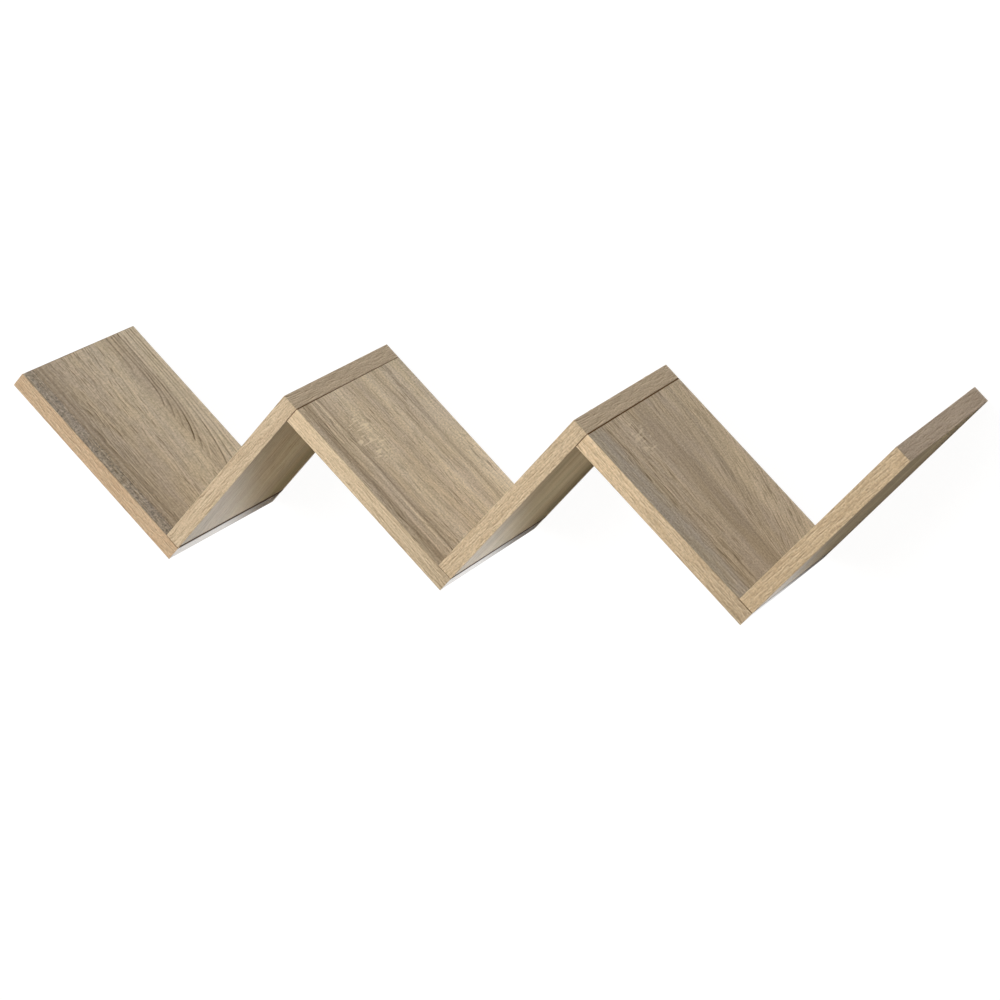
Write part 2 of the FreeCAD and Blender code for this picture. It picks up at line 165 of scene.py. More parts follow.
class Wiring:
    """A tree of nodes, with short calls for the nodes that the finishes share."""

    def __init__(self, tree: bpy.types.NodeTree) -> None:
        """Take over a tree."""
        self.tree = tree

    def node(self, kind: str, **choices: str) -> Node:
        """Add a node.

        Args:
            kind: the kind of node, without the words that all kinds begin with.
            **choices: the node's own settings, such as its operation.

        Returns:
            The node.
        """
        node = self.tree.nodes.new(f"ShaderNode{kind}")
        for name, choice in choices.items():
            setattr(node, name, choice)
        return node

    def feed(self, socket: Socket, value: Feed) -> None:
        """Link a socket to another one, or set its number or colour.

        Args:
            socket: the socket that takes the value.
            value: a socket, a number or a colour.
        """
        if isinstance(value, Socket):
            self.tree.links.new(value, socket)
        else:
            socket.default_value = value

    def fill(self, node: Node, values: dict[Union[str, int], Feed]) -> Node:
        """Feed several inputs of a node.

        Args:
            node: the node.
            values: what each input takes, by its name or number.

        Returns:
            The node.
        """
        for name, value in values.items():
            self.feed(node.inputs[name], value)
        return node

    def turn(self, vector: Feed, shift: Sequence[float] = CENTRE, angles: Sequence[float] = CENTRE,
             stretch: Sequence[float] = (1.0, 1.0, 1.0)) -> Socket:
        """Stretch, turn and shift a vector.

        Args:
            vector: the vector to work on.
            shift: what is added at the end.
            angles: turns about the three axes.
            stretch: what each component is multiplied by first.

        Returns:
            The socket of the new vector.
        """
        values = {"Vector": vector, "Location": shift, "Rotation": angles, "Scale": stretch}
        return self.fill(self.node("Mapping"), values).outputs["Vector"]

    def split(self, vector: Feed) -> tuple[Socket, ...]:
        """Give a vector's three components."""
        return tuple(self.fill(self.node("SeparateXYZ"), {"Vector": vector}).outputs)

    def join(self, x: Feed, y: Feed, z: Feed) -> Socket:
        """Make a vector of three components."""
        return self.fill(self.node("CombineXYZ"), {"X": x, "Y": y, "Z": z}).outputs["Vector"]

    def maths(self, operation: str, first: Feed, second: Feed = 0.0) -> Socket:
        """Work out one operation on two numbers."""
        return self.fill(self.node("Math", operation=operation), {0: first, 1: second}).outputs["Value"]

    def product(self, first: Feed, second: Feed) -> Socket:
        """Multiply two numbers."""
        return self.maths("MULTIPLY", first, second)

    def rest_of(self, share: Feed) -> Socket:
        """Give what a share leaves of one."""
        return self.maths("SUBTRACT", 1.0, share)

    def measure(self, operation: str, vector: Feed, other: Sequence[float] = CENTRE) -> Socket:
        """Work out a number from a vector and a fixed one."""
        return self.fill(self.node("VectorMath", operation=operation), {0: vector, 1: other}).outputs["Value"]

    def ease(self, value: Feed, ramp: Ramp) -> Socket:
        """Lead a number smoothly from one level to another.

        Args:
            value: the number that decides.
            ramp: where it is led from and to; its end may be below its start.

        Returns:
            The socket of the eased number.
        """
        limits = (ramp.start, ramp.end, ramp.low, ramp.high)
        if ramp.start > ramp.end:
            limits = (ramp.end, ramp.start, ramp.high, ramp.low)
        values = dict(zip(("From Min", "From Max", "To Min", "To Max"), limits), Value=value)
        return self.fill(self.node("MapRange", interpolation_type="SMOOTHSTEP"), values).outputs["Result"]

    def cloud(self, vector: Feed, pattern: Pattern, seed: float = 0.0) -> Socket:
        """Give an irregular pattern.

        Args:
            vector: the place on the piece.
            pattern: what it is like.
            seed: shifts it to another stretch of wood.

        Returns:
            The socket of the pattern, around one half.
        """
        shift = [(seed + pattern.shift) * step for step in SEED_WALK]
        values = {"Vector": self.turn(vector, shift, stretch=pattern.rates), "Scale": 1.0,
                  "Detail": pattern.detail, "Roughness": pattern.roughness, "Distortion": pattern.swirl}
        return self.fill(self.node("TexNoise"), values).outputs["Fac"]

    def strokes(self, vector: Feed, pattern: Pattern, seed: float,
                step: Sequence[float]) -> tuple[Socket, Socket]:
        """Give thin dark strokes along the grain, each with a light one beside it, a painted highlight on the
        lit side of the embossed grain.

        Args:
            vector: the place on the piece.
            pattern: what they are cut from.
            seed: shifts them to another stretch of wood.
            step: the way from a light stroke to its dark one.

        Returns:
            The sockets of the dark strokes and of the light ones.
        """
        dark = self.ease(self.cloud(vector, pattern, seed), STROKE_EDGE)
        light = self.ease(self.cloud(self.turn(vector, step), pattern, seed), STROKE_EDGE)
        return dark, light

    def cells(self, vector: Feed, rates: Triple) -> Node:
        """Give a pattern of chips, with a random colour and the distance to each chip's middle."""
        return self.fill(self.node("TexVoronoi"), {"Vector": self.turn(vector, stretch=rates), "Scale": 1.0})

    def tones(self, value: Feed, stops: Stops) -> Socket:
        """Choose a colour between stops.

        Args:
            value: a number from 0 to 1.
            stops: places from 0 to 1 with their colours.

        Returns:
            The socket of the colour.
        """
        node = self.fill(self.node("ValToRGB"), {"Fac": value})
        ramp = node.color_ramp
        ramp.interpolation = "EASE"
        while len(ramp.elements) < len(stops):
            ramp.elements.new(HALF)
        for element, (place, colour) in zip(ramp.elements, stops):
            element.position = place
            element.color = colour
        return node.outputs["Color"]

    def mix(self, share: Feed, first: Feed, second: Feed, way: str = "MIX") -> Socket:
        """Lead from a first colour to a second, or to their product, by a share."""
        node = self.node("Mix", data_type="RGBA", blend_type=way)
        return self.fill(node, {MIX_SHARE: share, MIX_FIRST: first, MIX_SECOND: second}).outputs[MIX_RESULT]

    def gain(self, colour: Feed, factor: Feed) -> Socket:
        """Brighten or darken a colour."""
        node = self.node("VectorMath", operation="SCALE")
        return self.fill(node, {0: colour, "Scale": factor}).outputs["Vector"]

    def total(self, start: float, terms: Iterable[tuple[float, Feed]]) -> Feed:
        """Add weighted patterns to a starting level.

        Args:
            start: the level without patterns.
            terms: pairs of a weight and a pattern; a pattern without weight is left out.

        Returns:
            The socket of the sum, or the starting level where nothing is added.
        """
        level: Feed = start
        for weight, pattern in terms:
            if weight:
                node = self.node("Math", operation="MULTIPLY_ADD")
                level = self.fill(node, {0: pattern, 1: weight, 2: level}).outputs["Value"]
        return level


class Recipe(Wiring):
    """The node tree of one material."""

    def __init__(self, name: str) -> None:
        """Start an empty finish with its surface shader.

        Args:
            name: the material's name.
        """
        self.material = bpy.data.materials.new(name)
        self.material.use_nodes = True
        super().__init__(self.material.node_tree)
        self.surface = self.tree.nodes["Principled BSDF"]

    def coat(self, **values: Feed) -> None:
        """Feed the surface shader's sockets, named with underscores for spaces."""
        self.fill(self.surface, {name.replace("_", " ").title().replace("Ior", "IOR"): value
                                 for name, value in values.items()})

    def place(self) -> Socket:
        """Give the place on the piece in the shared frame."""
        return self.node("TexCoord").outputs["Object"]

    def facing(self) -> Socket:
        """Give the direction that the face points in."""
        return self.node("NewGeometry").outputs["True Normal"]

    def relief(self, height: Feed, depth: float) -> None:
        """Give the surface a fine relief of a given depth in metres."""
        bump = self.fill(self.node("Bump"), {"Strength": 1.0, "Distance": depth, "Height": height})
        self.feed(self.surface.inputs["Normal"], bump.outputs["Normal"])


class Slope(Enum):
    """How a board runs from left to right."""

    FALLING = -1
    RISING = 1


@dataclass(frozen=True)
class BoardSeat:
    """Where one board lies: its own axes run along it, to the wall and out of its show face."""

    number: int
    slope: Slope
    start: Vector
    length: float
    depth: float

    @classmethod
    def find(cls, number: int) -> "BoardSeat":
        """Read a board's place from the box of its front band and of the board itself.

        Args:
            number: the board's number from the left, from 1.

        Returns:
            The seat of that board.
        """
        slope = Slope.FALLING if number % 2 else Slope.RISING
        name = cls.name_of(number)
        low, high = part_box(f"{name}_front_band")
        reach = BOARD_THICKNESS * math.cos(TILT)
        level = high.z if slope is Slope.FALLING else low.z
        length = (high.x - low.x - reach) / math.cos(TILT)
        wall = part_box(name)[1].y
        return cls(number, slope, Vector((low.x + reach, wall, level)), length, wall - low.y)

    @staticmethod
    def name_of(number: int) -> str:
        """Give the name of a board's node."""
        return f"{'falling' if number % 2 else 'rising'}_board_{(number + 1) // 2}"

    @property
    def name(self) -> str:
        """The name of the board's node."""
        return self.name_of(self.number)

    @property
    def joined(self) -> bool:
        """Whether the board starts at a corner."""
        return self.number > 1

    @property
    def matrix(self) -> Matrix:
        """The change from the board's own axes to the shared frame."""
        return Matrix.Translation(self.start) @ Matrix.Rotation(-self.slope.value * TILT, 4, "Y")

    @property
    def hidden_side(self) -> float:
        """The height of the hidden face over the show face, along the board's third axis."""
        return self.slope.value * BOARD_THICKNESS

    @property
    def out_of_face(self) -> Vector:
        """The direction across the board's thickness in the shared frame."""
        return self.matrix.to_3x3() @ Vector(UPWARDS)

    def own_place(self, recipe: Recipe) -> Socket:
        """Give the place on the board: along it, from its front edge, and across its thickness.

        Args:
            recipe: the finish that is being made.

        Returns:
            The socket of the place.
        """
        angles = (0.0, self.slope.value * TILT, 0.0)
        shift = self.matrix.inverted().translation + Vector((0.0, self.depth, 0.0))
        return recipe.turn(recipe.place(), shift, angles)


# Colours of the print: its zones from pale to dark, its grey ones and its strokes, and the seam colours,
# which paint a dark joint line together with painted shade of the gap at each joint.
BLOND = paint(215, 196, 162)
PALE = paint(208, 189, 156)
HONEY = paint(195, 175, 143)
FAWN = paint(181, 162, 133)
TAWNY = paint(170, 151, 122)
UMBER = paint(158, 139, 111)
OLIVE = paint(150, 133, 99)
SLATE = paint(157, 143, 121)
ASH = paint(168, 154, 131)
# CREAM: light print flecks, and the painted highlight beside each dark stroke.
CREAM = paint(232, 214, 182)
BARK = paint(92, 70, 38)
# SEAM and DEEP_SEAM: dark joint lines with painted shade of the gaps; DEEP_SEAM paints the wider shadow at
# the valley joints.
SEAM = paint(84, 56, 20)
DEEP_SEAM = paint(70, 47, 12)
# Tints that the zones are multiplied by in patches.
BLUSH = (0.985, 1.01, 1.17, 1.0)
MOSS = (0.93, 1.02, 1.04, 1.0)

# Patterns of the print, along the board, across it and through its thickness.
GROWTH_SWAY = Pattern((5.0, 16.0, 60.0))
GROWTH_SWAY_REACH = 8.0 * MM
GROWTH_TREMBLE = Pattern((34.0, 70.0, 60.0), 3.0, 1.0)
GROWTH_TREMBLE_REACH = 5.0 * MM
ZONE_SWAY = Pattern((4.0, 12.0, 60.0), 1.0)
ZONE_SWAY_SHARE = 0.09
PATCHES = Pattern((9.0, 24.0, 40.0), 5.0)
TINT_PATCHES = Pattern((16.0, 45.0, 40.0), 6.0)
TINT_SHARE = Ramp(0.36, 0.66, 0.25, 0.75)
FIBRES = Pattern((22.0, 400.0, 30.0), 13.0, 1.0)
SPECKLE = Pattern((700.0, 420.0, 60.0), 11.0, 0.0)
RIM_KNOTS = Pattern((420.0, 290.0, 40.0), 2.0, 1.0, 0.6, 1.0)
RIM_ZONE = Ramp(21.0 * MM, 12.0 * MM)
TWIST_LINE = 0.4
LONG_STROKES = Pattern((38.0, 300.0, 30.0), 7.0, 1.0)
LONG_STROKE_SHARE = 0.8
SHORT_STROKES = Pattern((75.0, 420.0, 30.0), 9.0, 1.0)
# STROKE_STEP: the way from each painted highlight to its dark stroke.
STROKE_STEP = (0.0, -1.5 * MM, 0.0)
STROKE_DEPTH = Ramp(0.36, 0.62, 0.45, 1.1)
# How squarely a face looks out of the board where it is printed, and where it is an eased arris.
PRINTED_FACING = 0.9
EASED_FACING = 0.4
RAW_ROUGHNESS = 0.95
RAW_DEPTH = 0.25 * MM


@dataclass(frozen=True)
class PrintBed:
    """What the layers of one board's print share: its recipe, places on the board and slow patterns."""

    recipe: Recipe
    seat: BoardSeat
    place: Feed
    along: Feed
    across: Feed
    lie: Feed
    streaks: Feed
    patches: Feed
    sway: Feed


@dataclass(frozen=True)
class Lean:
    """How the printed grain leans to the front along a board, fully so behind a line."""

    slope: float = 0.02
    bow: float = 0.0
    start: float = 0.0
    full: float = 50.0 * MM


@dataclass(frozen=True)
class Arch:
    """One line of the flame: where its top lies, how far behind that it runs, and how strongly it shows."""

    top: float
    drop: float
    dark: float
    light: float


@dataclass(frozen=True)
class Flame:
    """Nested arches in the rear of the print, which run beside the edge and bend forwards at their tops."""

    front: float
    arches: tuple[Arch, ...]
    bend: float = 1.25
    line_width: float = 1.9 * MM
    # Light lines beside the arches: painted highlight, set off by light_offset line widths.
    light_offset: float = 1.2
    light_share: float = 0.6
    sway_reach: float = 6.0 * MM
    border: float = 2.0 * MM
    level: Ramp = Ramp(0.02, 0.5, 0.65, 1.0)
    shown: Ramp = Ramp(0.38, 0.56, 0.51, 0.85)
    clear_before: float = 20.0 * MM
    clear_behind: float = 5.0 * MM
    clear_share: float = 0.6

    def clearing(self, bed: PrintBed) -> Socket:
        """Give how strongly the other strokes show, which make way for the arches."""
        ramp = Ramp(self.front - self.clear_before, self.front + self.clear_behind, 1.0, self.clear_share)
        return bed.recipe.ease(bed.across, ramp)

    def lines(self, bed: PrintBed) -> tuple[Feed, Feed]:
        """Give the thin dark lines of the flame, and the light ones beside them, which are a painted
        highlight on the embossed grain.

        Args:
            bed: what the layers of the print share.

        Returns:
            The sockets of the dark lines and of the light ones.
        """
        recipe = bed.recipe
        thin = Ramp(self.line_width, 0.0)
        settled = recipe.total(-self.front - HALF * self.sway_reach, [
            (1.0, bed.across), (self.sway_reach, bed.sway)])
        dark: Feed = 0.0
        light: Feed = 0.0
        for arch in self.arches:
            reach = self.bend * arch.drop
            rise = recipe.maths("EXPONENT", recipe.total(-arch.top / reach, [(1.0 / reach, bed.along)]))
            gap = recipe.total(-arch.drop, [(1.0, settled), (arch.drop, rise)])
            offset = recipe.total(-self.light_offset * self.line_width, [(1.0, gap)])
            near = recipe.ease(recipe.maths("ABSOLUTE", gap), thin)
            beside = recipe.ease(recipe.maths("ABSOLUTE", offset), thin)
            strength = recipe.total(0.0, [(arch.dark, recipe.ease(rise, self.level))])
            dark = recipe.maths("MAXIMUM", dark, recipe.product(near, strength))
            light = recipe.maths("MAXIMUM", light, recipe.total(0.0, [(arch.light, beside)]))
        zone = recipe.ease(bed.across, Ramp(self.front - self.border, self.front + self.border))
        shown = recipe.product(zone, recipe.ease(bed.patches, self.shown))
        return recipe.product(dark, shown), recipe.product(light, shown)


@dataclass(frozen=True)
class Flecks:
    """A patch of light marks across the grain."""

    along: float
    across: float
    reach: float
    strength: float
    squeeze: float = 1.5
    core_share: float = 0.6
    bars: Pattern = Pattern((460.0, 80.0, 30.0), 4.0, 0.0)
    edge: Ramp = Ramp(0.58, 0.66)

    def marks(self, bed: PrintBed, seed: float) -> Socket:
        """Give how strongly the marks show at a place.

        Args:
            bed: what the layers of the print share.
            seed: shifts the marks to another stretch of wood.

        Returns:
            The socket of their strength.
        """
        recipe = bed.recipe
        from_middle = recipe.turn(bed.place, (-self.along, -self.across * self.squeeze, 0.0),
                                  stretch=(1.0, self.squeeze, 0.0))
        fading = Ramp(self.reach, self.reach * self.core_share)
        inside = recipe.ease(recipe.measure("LENGTH", from_middle), fading)
        bars = recipe.ease(recipe.cloud(bed.place, self.bars, seed), self.edge)
        return recipe.product(recipe.product(bars, inside), self.strength)


@dataclass(frozen=True)
class ChipCore:
    """Pressed chips of the board's core, as its cut edges show them."""

    coarse_rates: Triple = (320.0, 320.0, 650.0)
    fine_rates: Triple = (900.0, 900.0, 1500.0)
    coarse_share: float = 0.55
    fine_share: float = 0.45
    coarse_height: float = -0.5
    fine_height: float = -0.3
    tints: Stops = ((0.12, paint(118, 88, 56)), (0.45, paint(176, 142, 100)), (0.8, paint(206, 178, 136)))

    def lay(self, recipe: Recipe, place: Feed) -> tuple[Feed, Feed]:
        """Lay the chips.

        Args:
            recipe: the finish that is being made.
            place: the place in the board's own axes.

        Returns:
            The socket of the colour, and of the height of the rough cut.
        """
        coarse = recipe.cells(place, self.coarse_rates).outputs
        fine = recipe.cells(place, self.fine_rates).outputs
        tint = recipe.total(0.0, [(self.coarse_share, recipe.split(coarse["Color"])[0]),
                                  (self.fine_share, recipe.split(fine["Color"])[0])])
        height = recipe.total(0.0, [(self.coarse_height, coarse["Distance"]),
                                    (self.fine_height, fine["Distance"])])
        return recipe.tones(tint, self.tints), height


@dataclass(frozen=True)
class OakFace:
    """Printed oak on a board's broad faces, with the raw chip core on its cut edges."""

    tones: Stops
    seed: float
    lean: Lean = Lean()
    tip_gain: float = 0.0
    twist: float = 0.0
    curl: float = 0.0
    flame: Optional[Flame] = None
    flecks: Optional[Flecks] = None
    upper: Optional["OakFace"] = None
    core: ChipCore = ChipCore()
    tone: float = 1.0
    streaks: Pattern = Pattern((4.0, 110.0, 30.0))
    streak_strength: float = 0.30
    fibre_strength: float = 0.45
    stroke_strength: float = 0.36
    light_strength: float = 0.20
    speckle_strength: float = 0.5
    patch_strength: float = 0.20
    blush: Colour = BLUSH
    # The seam at the board's start: a dark joint line with painted shade of the gap, narrowed towards the
    # back by seam_closing.
    seam_width: float = 0.7 * MM
    seam_fade: float = 0.5 * MM
    seam_closing: float = 0.0
    seam_colour: Colour = SEAM
    roughness: float = 0.46
    hidden_roughness: float = 0.9
    specular: float = 0.2
    pore_depth: float = 0.05 * MM
    waviness: float = 0.01 * MM

    def growth(self, recipe: Recipe, place: Feed) -> Socket:
        """Work out which growth line a place lies on.

        Args:
            recipe: the finish that is being made.
            place: the place in the board's own axes.

        Returns:
            The socket of the line's number, in metres across the grain.
        """
        along, across, _ = recipe.split(place)
        sway = recipe.cloud(place, GROWTH_SWAY, self.seed)
        tremble = recipe.cloud(place, GROWTH_TREMBLE, self.seed)
        wavy = recipe.total(-HALF * (GROWTH_SWAY_REACH + GROWTH_TREMBLE_REACH), [
            (1.0, across), (GROWTH_SWAY_REACH, sway), (GROWTH_TREMBLE_REACH, tremble)])
        bowed = recipe.product(along, recipe.total(self.lean.slope, [(self.lean.bow, along)]))
        share = recipe.ease(across, Ramp(self.lean.start, self.lean.full))
        return recipe.total(0.0, [(1.0, wavy), (1.0, recipe.product(bowed, share))])

    def lay_bed(self, recipe: Recipe, seat: BoardSeat, place: Feed) -> PrintBed:
        """Work out what the layers of the print share.

        Args:
            recipe: the finish that is being made.
            seat: the board that it is for.
            place: the place in the board's own axes.

        Returns:
            The bed that the layers are laid on.
        """
        along, across, level = recipe.split(place)
        lie = recipe.join(along, self.growth(recipe, place), level)
        return PrintBed(recipe, seat, place, along, across, lie, recipe.cloud(lie, self.streaks, self.seed),
                        recipe.cloud(place, PATCHES, self.seed), recipe.cloud(place, ZONE_SWAY, self.seed))

    def ground(self, bed: PrintBed) -> Socket:
        """Colour the zones across the board, with all that brightens and darkens them softly.

        Args:
            bed: what the layers of the print share.

        Returns:
            The socket of the colour.
        """
        recipe, seat = bed.recipe, bed.seat
        share = recipe.total(-HALF * ZONE_SWAY_SHARE, [
            (1.0 / seat.depth, bed.across), (ZONE_SWAY_SHARE, bed.sway)])
        tinted = recipe.ease(recipe.cloud(bed.place, TINT_PATCHES, self.seed), TINT_SHARE)
        base = recipe.mix(tinted, recipe.tones(share, self.tones), self.blush, "MULTIPLY")
        length_share = recipe.product(bed.along, 1.0 / seat.length)
        terms = [(self.streak_strength, bed.streaks), (self.patch_strength, bed.patches),
                 (self.fibre_strength, recipe.cloud(bed.lie, FIBRES, self.seed)),
                 (self.speckle_strength, recipe.cloud(bed.place, SPECKLE, self.seed)),
                 (self.tip_gain, length_share)]
        start = self.tone - HALF * sum(weight for weight, _ in terms)
        if self.curl:
            knots = recipe.total(-HALF, [(1.0, recipe.cloud(bed.place, RIM_KNOTS, self.seed))])
            terms.append((self.curl, recipe.product(recipe.ease(bed.across, RIM_ZONE), knots)))
        if self.twist:
            ahead = recipe.total(-HALF, [(1.0, length_share)])
            behind = recipe.total(-TWIST_LINE, [(1.0 / seat.depth, bed.across)])
            terms.append((self.twist, recipe.product(ahead, behind)))
        return recipe.gain(base, recipe.total(start, terms))

    def marks(self, bed: PrintBed) -> tuple[Feed, Feed, Feed]:
        """Give the thin strokes along the grain, and the arches among them.

        Args:
            bed: what the layers of the print share.

        Returns:
            The sockets of the dark marks, of the light ones, and of the pores under the dark strokes.
        """
        recipe = bed.recipe
        long_dark, long_light = recipe.strokes(bed.lie, LONG_STROKES, self.seed, STROKE_STEP)
        short_dark, short_light = recipe.strokes(bed.lie, SHORT_STROKES, self.seed, STROKE_STEP)
        depth = recipe.ease(bed.patches, STROKE_DEPTH)
        if self.flame is not None:
            depth = recipe.product(depth, self.flame.clearing(bed))
        dark = recipe.product(depth, recipe.total(0.0, [
            (LONG_STROKE_SHARE * self.stroke_strength, long_dark), (self.stroke_strength, short_dark)]))
        # Light strokes: painted highlight beside the dark strokes.
        light = recipe.product(depth, recipe.total(0.0, [
            (self.light_strength, long_light), (self.light_strength, short_light)]))
        if self.flame is not None:
            arch_dark, arch_light = self.flame.lines(bed)
            dark = recipe.total(0.0, [(1.0, dark), (1.0, arch_dark)])
            light = recipe.total(0.0, [(1.0, light), (self.flame.light_share, arch_light)])
        return dark, light, recipe.maths("MAXIMUM", long_dark, short_dark)

    def seam(self, bed: PrintBed) -> Feed:
        """Give how strongly the seam shows where the board starts at a corner: a dark joint line with painted
        shade of the gap.

        Args:
            bed: what the layers of the print share.

        Returns:
            The socket of its strength, or nothing for the first board.
        """
        if not bed.seat.joined:
            return 0.0
        from_joint = bed.recipe.total(0.0, [(1.0, bed.along), (self.seam_closing, bed.across)])
        return bed.recipe.ease(from_joint, Ramp(self.seam_width + self.seam_fade, self.seam_width))

    def print_grain(self, recipe: Recipe, seat: BoardSeat, place: Feed) -> tuple[Feed, Feed, Feed]:
        """Lay the layers of the print over each other.

        Args:
            recipe: the finish that is being made.
            seat: the board that it is for.
            place: the place in the board's own axes.

        Returns:
            The sockets of the colour, of the height of the printed skin, and of the seam's strength.
        """
        bed = self.lay_bed(recipe, seat, place)
        dark, light, pores = self.marks(bed)
        colour = recipe.mix(dark, recipe.mix(light, self.ground(bed), CREAM), BARK)
        if self.flecks is not None:
            colour = recipe.mix(self.flecks.marks(bed, self.seed), colour, CREAM)
        seam = self.seam(bed)
        height = recipe.total(0.0, [(-self.pore_depth, pores), (self.waviness, bed.streaks)])
        return recipe.mix(seam, colour, self.seam_colour), height, seam

    def finish(self, seat: BoardSeat) -> Material:
        """Make the finish of one board.

        Args:
            seat: the board that it is for.

        Returns:
            The finished material.
        """
        recipe = Recipe(f"{seat.name}_oak_decor")
        place = seat.own_place(recipe)
        colour, skin, seam = self.print_grain(recipe, seat, place)
        outward = recipe.measure("DOT_PRODUCT", recipe.facing(), seat.slope.value * seat.out_of_face)
        hidden = recipe.maths("GREATER_THAN", outward, 0.0)
        if self.upper is not None:
            upper_colour, upper_skin, _ = self.upper.print_grain(recipe, seat, place)
            colour = recipe.mix(hidden, colour, upper_colour)
            skin = recipe.mix(hidden, skin, upper_skin)
        facing = recipe.maths("ABSOLUTE", outward)
        printed = recipe.maths("GREATER_THAN", facing, PRINTED_FACING)
        eased = recipe.maths("GREATER_THAN", facing, EASED_FACING)
        core, core_height = self.core.lay(recipe, place)
        raw = recipe.rest_of(printed)
        rough_spots = recipe.total(0.0, [(RAW_ROUGHNESS, recipe.maths("MAXIMUM", raw, seam))])
        skin_roughness = recipe.total(self.roughness, [(self.hidden_roughness - self.roughness, hidden)])
        # Eased arrises take SEAM: the dark of the raw core together with painted shade of the small groove.
        recipe.coat(base_color=recipe.mix(printed, recipe.mix(eased, core, SEAM), colour),
                    roughness=recipe.maths("MAXIMUM", skin_roughness, rough_spots),
                    specular_ior_level=self.specular)
        recipe.relief(recipe.total(0.0, [(1.0, recipe.product(printed, skin)),
                                         (RAW_DEPTH, recipe.product(raw, core_height))]), 1.0)
        return recipe.material


@dataclass(frozen=True)
class BandFinish:
    """Printed strip with fine lines along it, for front edges and open ends."""

    light: Colour
    dark: Colour
    seed: float
    run: Triple
    wave_shares: Triple = (1.0, 1.0, 0.3)
    wave_reach: float = 2.0 * MM
    fine_shares: Triple = (2.4, 2.4, 1.1)
    broad_shares: Triple = (0.4, 0.4, 0.4)
    tone_places: tuple[float, float] = (0.15, 0.85)
    speckle: Pattern = Pattern((620.0, 620.0, 620.0), 8.0, 0.0)
    # The light strokes, one step from each dark one, are a painted highlight on the embossed grain.
    step: Triple = (0.0, 0.0, 1.1 * MM)
    slant: float = 0.03
    stroke_strength: float = 0.26
    light_strength: float = 0.26
    speckle_strength: float = 0.50
    far_gain: float = 0.0
    roughness: float = 0.48
    stroke_roughness: float = 0.10
    stroke_depth: float = 0.02 * MM
    specular: float = 0.25
    lacquer: float = 0.0
    butt_seam: Ramp = Ramp(0.8 * MM, 0.45 * MM)
    seam_level: Optional[float] = None
    seam_fade: float = 0.3 * MM

    def lines(self, recipe: Recipe, place: Feed) -> tuple[Feed, Feed, Feed, Feed]:
        """Give the lines along the strip.

        Args:
            recipe: the finish that is being made.
            place: the place in the board's own axes.

        Returns:
            The sockets of the broad bands, of all dark strokes, of all light ones, and of the long dark ones.
        """
        along, across, level = recipe.split(place)
        wave = recipe.cloud(place, Pattern(stretched(self.run, self.wave_shares), 1.0, 1.0), self.seed)
        drift = recipe.total(-HALF * self.wave_reach, [
            (1.0, level), (self.slant, along), (self.wave_reach, wave)])
        lie = recipe.join(along, across, drift)
        dark, light = recipe.strokes(lie, Pattern(self.run, 0.0, 1.0), self.seed, self.step)
        fine = Pattern(stretched(self.run, self.fine_shares), 6.0, 1.0)
        fine_dark, fine_light = recipe.strokes(lie, fine, self.seed, self.step)
        broad = recipe.cloud(lie, Pattern(stretched(self.run, self.broad_shares), 3.0), self.seed)
        deep = recipe.total(0.0, [(self.stroke_strength, dark), (self.stroke_strength, fine_dark)])
        # Light strokes: painted highlight beside the dark ones.
        bright = recipe.total(0.0, [(self.light_strength, light), (self.light_strength, fine_light)])
        return broad, deep, bright, dark

    def finish(self, name: str, board: BoardSeat, seam_at_start: bool) -> Material:
        """Make the finish of one strip.

        Args:
            name: the name of the strip's node.
            board: the board that the strip is glued to.
            seam_at_start: whether another strip meets it at its start.

        Returns:
            The finished material.
        """
        recipe = Recipe(f"{name}_print")
        place = board.own_place(recipe)
        along, _, level = recipe.split(place)
        broad, deep, bright, dark = self.lines(recipe, place)
        base = recipe.tones(broad, tuple(zip(self.tone_places, (self.dark, self.light))))
        gain = recipe.total(1.0 - HALF * (self.speckle_strength + self.far_gain), [
            (self.speckle_strength, recipe.cloud(place, self.speckle, self.seed)),
            (self.far_gain, recipe.product(along, 1.0 / board.length))])
        colour = recipe.mix(deep, recipe.mix(bright, recipe.gain(base, gain), CREAM), BARK)
        # The butt seam is a dark joint line with painted shade of the gap where another band meets this one.
        if seam_at_start:
            colour = recipe.mix(recipe.ease(along, self.butt_seam), colour, SEAM)
        rough = recipe.total(self.roughness, [(self.stroke_roughness, dark)])
        # The seam level paints the shadow of the valley joint along the strip's edge in DEEP_SEAM, and
        # roughens it.
        if self.seam_level is not None:
            groove = recipe.ease(level, Ramp(self.seam_level - self.seam_fade, self.seam_level))
            colour = recipe.mix(groove, colour, DEEP_SEAM)
            rough = recipe.maths("MAXIMUM", rough, groove)
        recipe.coat(base_color=colour, roughness=rough, specular_ior_level=self.specular,
                    coat_weight=self.lacquer)
        recipe.relief(dark, -self.stroke_depth)
        return recipe.material


@dataclass(frozen=True)
class FittingFinish:
    """Finish of a small fitting: two tints led by a broad and a fine pattern, which also roughen it."""

    name: str
    light: Colour
    dark: Colour
    broad: Pattern
    fine: Pattern
    roughness: float
    fine_depth: float
    tint_shares: tuple[float, float] = (1.0, 0.0)
    rough_shares: tuple[float, float] = (0.0, 0.0)
    tint_places: tuple[float, float] = (0.3, 0.7)
    metallic: float = 0.0
    turned: float = 0.0

    def finish(self) -> Material:
        """Make the finish.

        Returns:
            The finished material.
        """
        recipe = Recipe(self.name)
        place = recipe.turn(recipe.place(), angles=(0.0, self.turned, 0.0))
        patterns = [recipe.cloud(place, pattern) for pattern in (self.broad, self.fine)]
        tint = recipe.total(0.0, zip(self.tint_shares, patterns))
        recipe.coat(base_color=recipe.tones(tint, tuple(zip(self.tint_places, (self.dark, self.light)))),
                    roughness=recipe.total(self.roughness, zip(self.rough_shares, patterns)),
                    metallic=self.metallic)
        recipe.relief(patterns[1], self.fine_depth)
        return recipe.material
